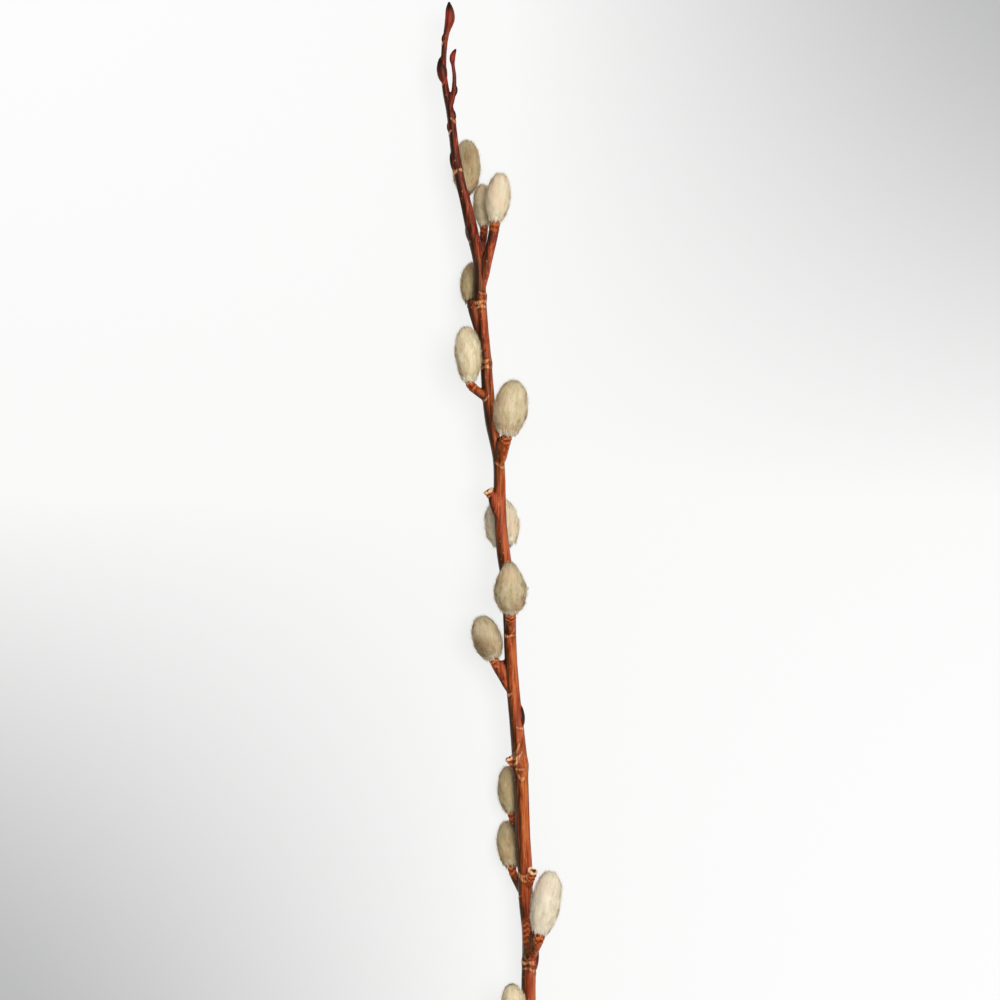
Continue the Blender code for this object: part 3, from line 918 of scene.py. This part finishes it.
# %% The bark's patterns
STREAK_WIDTH = 0.60
STREAK_LENGTH = 9.0
PATCH_WIDTH = 1.6
PATCH_LENGTH = 22.0
RED_WIDTH = 5.0
RED_LENGTH = 45.0
PORE_SPACING = 2.4
# The options of the mathematics nodes
ADD = {"operation": "ADD"}
SUBTRACT = {"operation": "SUBTRACT"}
MULTIPLY = {"operation": "MULTIPLY"}
MULTIPLY_ADD = {"operation": "MULTIPLY_ADD"}


def cells(width, length):
    """The scale at which a pattern's cells are so many millimetres wide, and long along the grain."""
    return 1 / (width * MM), 1 / (length * MM), 1 / (width * MM)


tree = bark_tree
where = add_node(tree, "TexCoord", output="Object")
skin = {name: add_node(tree, "Attribute", {"attribute_name": name}, output="Fac")
        for name in skin_numbers}
streaks = add_node(tree, "TexNoise", Scale=1.0, Detail=4.0, Roughness=0.6,
                   Vector=add_node(tree, "Mapping", _0=where, Scale=cells(STREAK_WIDTH, STREAK_LENGTH)))
patches = add_node(tree, "TexNoise", Scale=1.0, Detail=3.0, Roughness=0.6,
                   Vector=add_node(tree, "Mapping", _0=where, Scale=cells(PATCH_WIDTH, PATCH_LENGTH)))
reddening = add_node(tree, "TexNoise", Scale=1.0, Detail=2.0, Roughness=0.5,
                     Vector=add_node(tree, "Mapping", _0=where, Scale=cells(RED_WIDTH, RED_LENGTH)))
pore_cells = add_node(tree, "Mapping", _0=where, Scale=cells(PORE_SPACING, PORE_SPACING * 1.3))
from_pore = add_node(tree, "TexVoronoi", output="Distance", Vector=pore_cells, Scale=1.0, Randomness=1.0)
from_pore = add_node(tree, "Math", MULTIPLY, _0=from_pore, _1=6.0)
from_pore = add_node(tree, "Math", {"operation": "SMOOTH_MIN"}, _0=from_pore, _1=1.0, _2=0.2)
pore = add_node(tree, "Math", SUBTRACT, _0=1.0, _1=from_pore)
print(len(tree.nodes), "nodes for the bark's patterns")

# %% [markdown]
# ## The bark's colours
# The rod is orange to red brown where the sun reached it and crimson towards the tip.
# It is painted lighter on the side the light comes from, and olive brown to black on its
# flanks as painted shade. One tone from dark to light, made of the streaks, the patches
# and that painted side, reads two ramps of colour, and a share mixes them.

# %% From brown to crimson
tone = add_node(tree, "Math", MULTIPLY_ADD, _0=patches, _1=1.2, _2=-1.35)
tone = add_node(tree, "Math", MULTIPLY_ADD, _0=streaks, _1=1.5, _2=tone)
# Painted light and shade: the tone rises on the side the light comes from
tone = add_node(tree, "Math", ADD, _0=tone, _1=skin["sun_and_light_side"])
tone = add_node(tree, "Math", MULTIPLY_ADD, _0=skin["deep"], _1=-0.26, _2=tone)
brown = add_node(tree, "ValToRGB", _0=tone, stops=[
    (0.26, "#2e1a09"),
    (0.48, "#4c2a10"),
    (0.64, "#763312"),
    (0.82, "#98421a"),
    (1.04, "#bb6632"),
])
crimson = add_node(tree, "ValToRGB", _0=tone, stops=[
    (0.30, "#240a08"),
    (0.55, "#621a10"),
    (0.95, "#a2402a"),
])
patchy_red = add_node(tree, "MapRange", Value=reddening, From_Min=0.42, From_Max=0.62, To_Max=0.75)
tip_red = add_node(tree, "Math", MULTIPLY, _0=skin["deep"], _1=0.90)
# Crimson only on the lit side, following the painted light
facing = add_node(tree, "MapRange", Value=skin["sun_and_light_side"], From_Min=0.35, From_Max=0.75)
redness = add_node(tree, "Math", {"operation": "MAXIMUM"}, _0=patchy_red, _1=tip_red)
redness = add_node(tree, "Math", MULTIPLY, _0=redness, _1=facing)
print(len(tree.nodes), "nodes with the two ramps")

# %% [markdown]
# ## Cork, scars, buds and the cut
# Over the bark lie the other colours, each by its number on the skin: pale pores,
# painted shade round the scars, in hollows, in shadowed places and in the stubs' ends,
# orange wrinkled collars, tan scars, crimson buds with black tips, and cream wood round
# brown pith. It could be one material for each, but one with layers lets them fade into
# each other. A loop lays them on in order.

# %% Lay the other colours on the bark
PITH_RADIUS = 0.9

# How strongly the painted shadows lie, broken up by the streaks
shaded = add_node(tree, "MapRange", Value=streaks, From_Min=0.30, From_Max=0.60, To_Min=0.5)
collar_colour = add_node(tree, "ValToRGB", _0=skin["wrinkle"],
                         stops=[(0.12, "#54190a"), (0.5, "#99401a"), (0.88, "#cc773c")])
collar_share = add_node(tree, "Math", MULTIPLY_ADD, _0=skin["deep"], _1=-0.35, _2=1.0)
scar_colour = add_node(tree, "ValToRGB", _0=streaks,
                       stops=[(0.3, "#8a431d"), (0.5, "#c27c48"), (0.7, "#ecc49a")])
scar_share = add_node(tree, "MapRange", Value=patches, From_Min=0.36, From_Max=0.56, To_Min=0.25)
# Scars fade under the painted shadows
not_black = add_node(tree, "Math", MULTIPLY_ADD, _0=skin["shadow_blotch"], _1=-0.8, _2=1.0)
scar_share = add_node(tree, "Math", MULTIPLY, _0=scar_share, _1=not_black)
bud_colour = add_node(tree, "ValToRGB", _0=streaks, stops=[(0.3, "#4a140c"), (0.7, "#9c3220")])
past_pith = add_node(tree, "MapRange", {"interpolation_type": "SMOOTHSTEP"}, Value=skin["from_pith"],
                     From_Min=PITH_RADIUS - 0.2, From_Max=PITH_RADIUS + 0.2)
wood_colour = add_node(tree, "Mix", {"data_type": "RGBA"}, output=2,
                       _0=past_pith, _6=linear("#8d6a45"), _7=linear("#e3cfa2"))
# The colour laid on, the number that says where, and its strength there
LAYERS = [
    (crimson, redness, 1.0),
    (linear("#c89468"), pore, 0.55),
    # Painted shade round the raised scars
    (linear("#1e0e08"), skin["scar_shade"], 0.55),
    # Painted shade in the hollows and forks
    (linear("#1e0e08"), skin["crease_shade"], 0.65),
    # Painted shadows on the bark
    (linear("#1d0d07"), skin["shadow_blotch"], shaded),
    (collar_colour, skin["collar"], collar_share),
    (scar_colour, skin["rim"], scar_share),
    (linear("#e6b98c"), skin["torn"], 1.0),
    (bud_colour, skin["bud"], 1.0),
    (linear("#1c0f0b"), skin["black"], 1.0),
    # Painted shade in the middle of each stub's end
    (linear("#24140c"), skin["stub_end_shade"], 1.0),
    (wood_colour, skin["cut_wood"], 1.0),
]
bark_colour = brown
for over, place, strength in LAYERS:
    share = add_node(tree, "Math", MULTIPLY, _0=place, _1=strength)
    bark_colour = add_node(tree, "Mix", {"data_type": "RGBA"}, output=2, _0=share, _6=bark_colour, _7=over)
tree.links.new(bark_colour, bark_shader.inputs["Base Color"])
print(len(LAYERS), "colours laid on the bark")

# %% [markdown]
# ## The bark's gloss
# A young rod's bark is smooth cork under a thin wax, so it has a satin gloss, duller
# on scars and dullest on the cut wood. Streaks and pores stand out by a tenth of a
# millimetre, too little to model, so a bump map draws them.

# %% Gloss and fine relief
# Waxed cork: the wax gives a soft warm shine along the rod, the cork keeps it dull
gloss = add_node(tree, "Math", MULTIPLY_ADD, _0=streaks, _1=0.25, _2=0.26)
gloss = add_node(tree, "Math", MULTIPLY_ADD, _0=skin["rim"], _1=0.25, _2=gloss)
gloss = add_node(tree, "Math", MULTIPLY_ADD, _0=skin["cut_wood"], _1=0.35, _2=gloss)
tree.links.new(gloss, bark_shader.inputs["Roughness"])
bark_shader.inputs["Specular IOR Level"].default_value = 0.22
bark_shader.inputs["Specular Tint"].default_value = linear("#ffcfae")
bark_height = add_node(tree, "Math", MULTIPLY_ADD, _0=pore, _1=0.6, _2=streaks)
bark_bump = add_node(tree, "Bump", Height=bark_height, Strength=0.35, Distance=0.12 * MM)
tree.links.new(bark_bump, bark_shader.inputs["Normal"])
print(len(tree.nodes), "nodes in the bark's material")

# %% [markdown]
# ## What each catkin is like
# No two catkins are alike, so a table by name gives each its form and its shade. The
# oldest is drawn out to a beak and some are nearly white. Those that lay in shadow are
# painted darker and olive, and spots of painted shade lie where shade fell on them.

# %% Forms, shades and worn spots
# Egg (narrower at the tip), beak (drawn out at the tip), share of the flower scales
# that show, and how much paler the hair is drawn, below zero painted shade for a catkin in shadow
CHARACTER = {
    "catkin_01": (0.10, 0.0, 0.04, 0.00),
    "catkin_02": (0.05, 0.0, 0.05, 0.05),
    "catkin_03": (0.05, 0.0, 0.05, 0.00),
    "catkin_04": (-0.04, 0.0, 0.30, 0.62),
    "catkin_05": (0.06, 0.0, 0.06, -0.24),
    "catkin_06": (0.04, 0.0, 0.05, -0.24),
    "catkin_07": (0.06, 0.0, 0.14, -0.14),
    "catkin_08": (0.10, 0.32, 0.08, -0.12),
    "catkin_09": (0.08, 0.0, 0.06, 0.36),
    "catkin_10": (0.04, 0.0, 0.02, -0.07),
    "catkin_11": (-0.02, 0.0, 0.03, 0.06),
    "catkin_12": (0.04, 0.0, 0.04, -0.28),
    "catkin_13": (0.05, 0.0, 0.03, -0.10),
    "catkin_14": (0.04, 0.0, 0.05, 0.30),
    "catkin_15": (0.04, 0.0, 0.16, -0.24),
}
# Spots of painted shade on the fur: height (-1 base, 1 tip), turn (90 faces up), reach, depth
SHADE_SPOTS = {
    "catkin_04": [(-0.2, 140.0, 3.0, 0.35)],
    "catkin_07": [(-0.55, 125.0, 5.0, 0.95), (0.1, 175.0, 4.0, 0.35), (0.75, 80.0, 2.2, 0.35)],
    "catkin_08": [(0.1, 165.0, 2.6, 0.25)],
    "catkin_09": [(0.0, 165.0, 6.0, 0.60)],
    "catkin_11": [(0.62, 40.0, 2.3, 0.65), (-0.5, 160.0, 3.4, 0.30)],
    "catkin_12": [(0.2, 120.0, 3.4, 0.25)],
    "catkin_15": [(0.30, 85.0, 2.8, 0.60), (-0.05, 85.0, 2.8, 0.60), (-0.40, 85.0, 2.4, 0.45)],
}
print(len(CHARACTER), "catkins,", sum(len(spots) for spots in SHADE_SPOTS.values()), "worn spots")

# %% [markdown]
# ## A catkin's body
# A pussy willow's catkin is an egg of tiny flowers, each with a tuft of silky hair.
# The body is a surface of two numbers: rise, the angle from the base (0) over the
# belly to the tip (pi), and turn, the angle round the axis. Its radius is a sine to
# the power 0.86, blunter than an ellipsoid's, and 0.66 near the base, which is
# blunter still. It is narrowed to an egg or to a beak, and two low waves that wind
# up it, one each way, raise the tufts.

# %% The body as a function
BLUNTNESS = 0.86
BASE_BLUNTNESS = 0.66
# How far inside the solid's surface the body lies, to leave room for the hair
INSET = 0.80
GOLDEN_ANGLE = math.pi * (3 - math.sqrt(5))


class Body:
    """The smooth surface under one catkin's hair, placed where the catkin's solid is."""

    def __init__(self, name):
        self.base, self.heading, self.length, self.radius = places[name]
        self.egg, self.beak, self.flecks, self.paleness_and_shade = CHARACTER[name]
        self.start = float(name[-2:])
        self.across = unit(np.cross(self.heading, [0.0, 0.0, 1.0]))
        self.up = np.cross(self.across, self.heading)

    def waves(self, rise, turn):
        """Two waves that wind up the body, one each way: cosines of the turn and the rise."""
        return np.cos(5 * turn + 7 * rise + self.start), np.cos(8 * turn - 6 * rise + 2 * self.start)

    def point(self, rise, turn, out=0.0):
        """Base + heading * length * (1 - cos rise) / 2 + spoke * radius * sin(rise) ** bluntness.

        The spoke is the direction away from the axis, and out moves the point off the body.
        """
        height = -np.cos(rise)
        bluntness = BASE_BLUNTNESS + (BLUNTNESS - BASE_BLUNTNESS) * ease(-0.8, 0.3, height)
        plump = np.maximum(np.sin(rise), 1e-6) ** bluntness * (1 - self.egg * height)
        plump = plump * (1 - self.beak * np.maximum(height, 0.0) ** 0.7)
        first, second = self.waves(rise, turn)
        tufts = 0.026 * first + 0.022 * second
        girth = (self.radius - INSET) * plump * (1 + tufts) + out * np.sin(rise)
        ahead = (self.length - INSET) * (1 + height) / 2 + out * height
        spoke = self.across * np.cos(turn)[..., None] + self.up * np.sin(turn)[..., None]
        return self.base + self.heading * ahead[..., None] + spoke * girth[..., None]

    def outward(self, points):
        """The directions out of an ellipsoid of the body's length and thickness at points on it."""
        offset = points - self.base - self.heading * self.length * 0.5
        along = (offset @ self.heading)[:, None]
        aside = offset - self.heading * along
        return unit(aside / self.radius**2 + self.heading * along / (self.length / 2) ** 2)


print("the hair has", INSET, "mm of room")

# %% [markdown]
# ## A catkin's hair
# The fur is thousands of fine blades, each a strip that narrows to a point. Their
# roots follow the golden angle, so they are spread evenly, as the flowers are. From
# its root a blade follows the body towards the tip and lifts off it slowly. Blender's
# own hair would be lost in an export, and blades are plain faces that stay.

# %% Comb a blade along the body
# How far from the base, as an angle of rise, the ruff's blades stop
RUFF_ENDS = 0.30


def combed(body, rise, turn, length, onward, lift, drift, cap, share):
    """Places at a share of each blade's length: it runs along the body's profile from its root."""
    table = np.linspace(0.0, math.pi, 300)
    profile = body.point(table, np.zeros(300))
    run = np.concatenate([[0.0], np.cumsum(np.linalg.norm(np.diff(profile, axis=0), axis=1))])
    wanted = np.interp(rise, table, run) + onward * share * length
    low = np.minimum(np.interp(RUFF_ENDS, table, run), np.interp(rise, table, run))
    high = np.maximum(np.interp(math.pi - cap, table, run), np.interp(rise, table, run))
    held = np.clip(wanted, low, high)
    reached = np.interp(held, run, table)
    girth = np.maximum(body.radius * np.sin(reached), 1.2)
    place = body.point(reached, turn + drift * share * length / girth, out=lift * share**1.3)
    past = np.where(onward > 0, 0.12, 0.45) * (wanted - held)
    return place + body.heading * past[:, None]


print("the golden angle is", round(math.degrees(GOLDEN_ANGLE), 1), "degrees")

# %% [markdown]
# ## Scales and spots of shade
# Under the hair each flower has a dark scale, and a few show as flecks. Their sites
# follow the golden angle too. Where shade fell on a catkin, a whole spot is painted
# dusky. Both are worked out for each blade from the distance between its root and the site.

# %% Where the fur is dark
SITES = 70
FLECK_REACH = 0.75


def bract_flecks(body, height, turn, random):
    """1 for blades rooted on one of the flower scales that show through the hair."""
    number = np.arange(SITES)
    shown = random.random(SITES) < body.flecks
    site_height = (-0.8 + 1.6 * (number + 0.5) / SITES)[shown]
    site_turn = (number * GOLDEN_ANGLE)[shown]
    if not shown.any():
        return np.zeros(len(height))
    beside = np.sin(0.5 * (turn[:, None] - site_turn)) * 2 * body.radius
    ahead = (height[:, None] - site_height) * body.length / 2
    return (np.hypot(beside * 1.6, ahead).min(axis=1) < FLECK_REACH) * 1.0


def shade_spots_on(name, body, height, turn):
    """The deepest of a catkin's spots of painted shade at each blade: depth * exp(-(distance / reach) **
    2).
    """
    spot_shade = np.zeros(len(height))
    for spot_height, spot_turn, reach, depth in SHADE_SPOTS.get(name, []):
        beside = np.sin(0.5 * (turn - math.radians(spot_turn))) * 2 * body.radius
        ahead = (height - spot_height) * body.length / 2
        spot_shade = np.maximum(spot_shade, depth * np.exp(-(beside**2 + ahead**2) / reach**2))
    return spot_shade


print(f"a fleck reaches {FLECK_REACH} mm")

# %% [markdown]
# ## All the blades of a catkin
# Side drift is a slow wave round the body, so the blades part and meet in silky
# streaks, and the tufts' waves lift them unevenly. A few fly loose and blur the
# outline, and a ruff round the base points backwards. Each blade is five points and
# three triangles, and carries its own numbers for the colour.

# %% Lay out the blades
BLADES = 12000
RUFF_BLADES = 900
BLADE_POINTS = 5
BLADE_WIDTH = 0.20
BLADE_LENGTH = 3.6
RUFF_LENGTH = (0.8, 1.8)
LOOSE_SHARE = 0.14
# How far the blades' tips stand off the body
LIFT = (0.25, 0.75)
LOOSE_LIFT = (0.8, 1.9)
RUFF_LIFT = (0.5, 1.5)


def blades_on(name, body, seed):
    """Points, triangles, shading tilts and per-point numbers of all the blades of one catkin."""
    random = np.random.default_rng(seed)
    count = BLADES + RUFF_BLADES
    number = np.arange(count)
    ruff = number >= BLADES
    height = -0.985 + 1.98 * (number + 0.5) / BLADES
    height = np.where(ruff, random.uniform(-0.975, -0.76, count), height)
    rise = np.arccos(np.clip(-height, -1.0, 1.0))
    turn = number * GOLDEN_ANGLE + random.normal(0.0, 0.02, count)
    loose = (random.random(count) < LOOSE_SHARE) & ~ruff
    length = BLADE_LENGTH * random.uniform(0.6, 1.1, count) * (0.75 + 0.25 * np.sin(rise))
    length = np.where(ruff, random.uniform(*RUFF_LENGTH, count), length)
    onward = np.where(ruff, -1.0, 1.0)
    first, second = body.waves(rise, turn)
    uneven = 1 + 0.28 * first + 0.22 * second
    lift = random.uniform(*LIFT, count) * uneven
    lift = np.where(loose, random.uniform(*LOOSE_LIFT, count), lift)
    lift = np.where(ruff, random.uniform(*RUFF_LIFT, count) * uneven, lift)
    drift = 0.16 * np.sin(9 * turn + 3 * np.sin(4 * rise)) + random.normal(0.0, 0.11, count)
    drift = np.where(loose, drift * 2.5, drift)
    cap = random.uniform(0.03, 0.55, count)
    strand = 0.5 + 0.25 * np.sin(7 * turn + 2 * np.sin(2 * rise) + seed)
    strand = strand + 0.25 * np.sin(16 * turn - 3 * np.sin(1.5 * rise) + 2 * seed)
    root, middle, tip = [combed(body, rise, turn, length, onward, lift, drift, cap, share)
                         for share in (0.0, 0.5, 1.0)]
    ahead = unit(tip - root)
    flat = unit(np.cross(ahead, body.outward(root)))
    roll = random.normal(0.0, 0.45, count)[:, None]
    beside = flat * np.cos(roll) + np.cross(ahead, flat) * np.sin(roll)
    half = 0.5 * BLADE_WIDTH * random.uniform(0.7, 1.3, count)
    half = np.where(loose, half * 0.6, half)[:, None]
    points = np.stack([root - beside * half, root + beside * half, middle - beside * half * 0.8,
                       middle + beside * half * 0.8, tip], axis=1).reshape(-1, 3)
    faces = (number * BLADE_POINTS)[:, None, None] + np.array([[0, 1, 3], [0, 3, 2], [2, 3, 4]])
    tilt = random.normal(0.0, 1.0, (count, 3)) * np.where(ruff, 0.45, 0.16)[:, None]
    tilt = tilt + ruff[:, None] * [0.0, 0.0, 0.35]
    numbers = {
        "tone": random.random(count),
        "strand": strand,
        "fleck": bract_flecks(body, height, turn, random),
        "spot_shade": shade_spots_on(name, body, height, turn),
        "ruff": ruff * 1.0,
        "paleness_and_shade": np.full(count, body.paleness_and_shade),
    }
    numbers = {key: np.repeat(column, BLADE_POINTS) for key, column in numbers.items()}
    numbers["share"] = np.tile([0.0, 0.0, 0.5, 0.5, 1.0], count)
    return points, faces.reshape(-1, 3), np.repeat(tilt, BLADE_POINTS, axis=0), numbers


print(f"{BLADES} blades, {BLADE_LENGTH} mm long")

# %% [markdown]
# ## The catkins
# Each catkin is its body's closed surface with the blades on it, in one mesh. The
# blades are shaded with the body's own outward directions, blended with theirs, as
# real fur looks: soft light over the whole egg, and only faint light on each hair.

# %% Make the fifteen catkins
BODY_ROWS = 40
BODY_SIDES = 48
# How far above the surface the lowest hair stays
CLEAR = 0.02

fur, fur_tree, fur_shader = new_material("pussy willow fur, silky hair")


def body_mesh(body):
    """A closed grid over rise and turn, with one point at each pole."""
    rise = np.linspace(0.0, math.pi, BODY_ROWS + 2)[1:-1]
    turn = np.linspace(0.0, 2 * math.pi, BODY_SIDES, endpoint=False)
    grid = body.point(rise[:, None] + 0 * turn, turn + 0 * rise[:, None])
    poles = body.point(np.array([0.0, math.pi]), np.array([0.0, 0.0]))
    line = np.linspace(body.base, body.base + body.heading, BODY_ROWS)
    faces = tube(line, np.ones(BODY_ROWS), BODY_SIDES)[1]
    return np.concatenate([grid.reshape(-1, 3), poles]), faces


def grow_catkin(name, seed):
    """One furry catkin that stands for its solid."""
    body = Body(name)
    core_points, core_faces = body_mesh(body)
    points, faces, glint, values = blades_on(name, body, seed)
    core_count = len(core_points)
    all_points = np.concatenate([core_points, points])
    all_points[:, 2] = np.maximum(all_points[:, 2], CLEAR)
    all_faces = np.concatenate([core_faces, faces + core_count])
    values = {key: np.concatenate([np.zeros(core_count), numbers]) for key, numbers in values.items()}
    catkin = new_object(name + "_fur", in_metres(all_points), all_faces, fur, values)
    tilt = np.concatenate([np.zeros((core_count, 3)), glint])
    catkin.data.normals_split_custom_set_from_vertices(unit(body.outward(all_points) + tilt))
    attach(catkin, "root")
    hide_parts(name)
    return catkin


catkins = [grow_catkin(name, seed) for seed, name in enumerate(CATKIN_NAMES)]
print(len(catkins), "catkins of", len(catkins[0].data.polygons), "triangles")

# %% [markdown]
# ## The fur's cream
# Each hair is clear and silky, and many together scatter the light and look cream.
# Near their roots the hairs shade one another, so the root end is drawn darker and
# olive, and the tips are nearly white. Strands of hair and slow clouds vary that.

# %% The fur's colour from root to tip
CLOUD_SIZE = 5.0

tree = fur_tree
where = add_node(tree, "TexCoord", output="Object")
hair = {name: add_node(tree, "Attribute", {"attribute_name": name}, output="Fac")
        for name in ("share", "tone", "strand", "fleck", "spot_shade", "ruff", "paleness_and_shade")}
cloud = add_node(tree, "TexNoise", Vector=where, Scale=1 / (CLOUD_SIZE * MM), Detail=2.0, Roughness=0.5)
level = add_node(tree, "Math", MULTIPLY_ADD, _0=hair["tone"], _1=0.30, _2=-0.48)
for number, weight in [(hair["share"], 0.70), (cloud, 0.60), (hair["strand"], 0.36)]:
    level = add_node(tree, "Math", MULTIPLY_ADD, _0=number, _1=weight, _2=level)
cream = add_node(tree, "ValToRGB", _0=level, stops=[
    (0.0, "#857a52"),
    (0.25, "#cdbc8c"),
    (0.55, "#f0deb3"),
    (0.95, "#fff6de"),
])
print(len(tree.nodes), "nodes for the cream")

# %% [markdown]
# ## The fur's finish
# Over the cream lie a faint blush, the flecks and spots of painted shade, which both
# fade towards a hair's tip, and the ruff's white wool. Then the paler catkins are
# bleached as a whole, and those that lay in shadow get painted shade, a dark olive
# tint. Fur is matt, with a soft sheen where its hairs are seen edge on.

# %% Lay the other colours on the fur
# Silky hair: it spreads the light, so the catkins look soft and hardly shine
BLUSH_SIZE = 9.0
blush = add_node(tree, "TexNoise", Vector=where, Scale=1 / (BLUSH_SIZE * MM), Detail=1.0)
blush = add_node(tree, "MapRange", Value=blush, From_Min=0.45, From_Max=0.70, To_Max=0.4)
fleck_fades = add_node(tree, "Math", SUBTRACT, _0=0.95, _1=hair["share"])
spot_shade_fades = add_node(tree, "Math", SUBTRACT, _0=1.35, _1=hair["share"])
# How a colour is laid on, the colour, the number that says where, and its strength there
FUR_LAYERS = [
    ("MIX", "#eebf92", blush, 1.0),
    ("MIX", "#5b4a33", hair["fleck"], fleck_fades),
    # Painted shade in spots, fading towards the hairs' tips
    ("MIX", "#826033", hair["spot_shade"], spot_shade_fades),
    ("MIX", "#fff3d6", hair["ruff"], 0.7),
    # Painted shade: catkins that lay in shadow are multiplied by dark olive
    ("MULTIPLY", "#b8a67c", hair["paleness_and_shade"], -2.4),
    ("MIX", "#fff8ea", hair["paleness_and_shade"], 0.75),
]
fur_colour = cream
for way, over, place, strength in FUR_LAYERS:
    share = add_node(tree, "Math", MULTIPLY, _0=place, _1=strength)
    fur_colour = add_node(tree, "Mix", {"data_type": "RGBA", "blend_type": way}, output=2,
                          _0=share, _6=fur_colour, _7=linear(over))
tree.links.new(fur_colour, fur_shader.inputs["Base Color"])
fur_shader.inputs["Roughness"].default_value = 0.62
fur_shader.inputs["Specular IOR Level"].default_value = 0.2
fur_shader.inputs["Sheen Weight"].default_value = 0.08
fur_shader.inputs["Sheen Roughness"].default_value = 0.4
fur_shader.inputs["Sheen Tint"].default_value = linear("#fff6e2")
print(len(tree.nodes), "nodes in the fur's material")

# %% [markdown]
# ## The table
# The branch lies on a light table, a milky plastic sheet lit from below, so hardly a
# shadow shows. The sheet is a little brighter at two corners and greyer at the other
# two. It only sets the stage and isn't part of the branch.

# %% Light table
FLOOR_HALF = 4000.0
sheet, sheet_tree, sheet_shader = new_material("milky acrylic sheet, lit from below")
corners = np.array([(-1, -1), (1, -1), (1, 1), (-1, 1)]) * FLOOR_HALF
floor_points = np.column_stack([corners, np.zeros(4)]) * MM
floor = new_object("table", floor_points, np.array([[0, 1, 2], [0, 2, 3]]), sheet, {})

# Moulded acrylic with a matt face: it scatters the light, so no lamp shows in it
tree = sheet_tree
where = add_node(tree, "TexCoord", output="Object")
half_picture = PICTURE_WIDTH / 2 * MM
picture_middle = float(in_metres(PICTURE_CENTRE)[1])
place = add_node(tree, "Mapping", _0=where, Scale=(1 / half_picture,) * 3,
                 Location=(0.0, -picture_middle / half_picture, 0.0))
across_sheet = add_node(tree, "SeparateXYZ", _0=place)
along_sheet = add_node(tree, "SeparateXYZ", output=1, _0=place)
square = add_node(tree, "Math", MULTIPLY, _0=along_sheet, _1=along_sheet)
square = add_node(tree, "Math", MULTIPLY_ADD, _0=across_sheet, _1=across_sheet, _2=square)
# The two tints fade out past the picture: 0.5 to the power of (distance squared / 4) squared
steepness = add_node(tree, "Math", MULTIPLY, _0=square, _1=0.25)
steepness = add_node(tree, "Math", MULTIPLY, _0=steepness, _1=steepness)
fade = add_node(tree, "Math", {"operation": "POWER"}, _0=0.5, _1=steepness)
saddle = add_node(tree, "Math", MULTIPLY, _0=across_sheet, _1=along_sheet)
saddle = add_node(tree, "Math", MULTIPLY, _0=saddle, _1=fade)
saddle = add_node(tree, "Math", MULTIPLY_ADD, _0=saddle, _1=-0.6, _2=0.5)
glow = add_node(tree, "ValToRGB", _0=saddle, stops=[(0.0, "#b0b0b0"), (0.5, "#fbfbfa"), (1.0, "#ffffff")])
tree.links.new(glow, sheet_shader.inputs["Emission Color"])
sheet_shader.inputs["Emission Strength"].default_value = 0.81
sheet_shader.inputs["Base Color"].default_value = linear("#6a6a6a")
sheet_shader.inputs["Roughness"].default_value = 0.9
sheet_shader.inputs["Specular IOR Level"].default_value = 0.1
print("the table is", 2 * FLOOR_HALF / 1000, "m wide")

# %% [markdown]
# ## Light
# A photographer would hang one big soft box over the branch, a little to its right,
# and keep the room dim. Then what faces up is bright and what turns away falls off,
# so that each catkin looks round and the bark's flanks are dark.

# %% Soft box and room light
world = bpy.data.worlds.new("dim room")
bpy.context.scene.world = world
world.use_nodes = True
world.node_tree.nodes["Background"].inputs["Color"].default_value = linear("#f4f6f8")
world.node_tree.nodes["Background"].inputs["Strength"].default_value = 0.45


def soft_box(name, place, power, size):
    """A square area light that looks at the picture's centre."""
    light = bpy.data.lights.new(name, "AREA")
    light.energy = power
    light.size = size
    lamp = bpy.data.objects.new(name, light)
    bpy.context.scene.collection.objects.link(lamp)
    lamp.location = place
    aim = Vector(in_metres(PICTURE_CENTRE)) - Vector(place)
    lamp.rotation_euler = aim.to_track_quat("-Z", "Y").to_euler()
    return lamp


soft_box("soft box overhead", (0.60, 0.35, 2.0), 40.0, 1.2)
bpy.context.scene.view_settings.view_transform = "Standard"
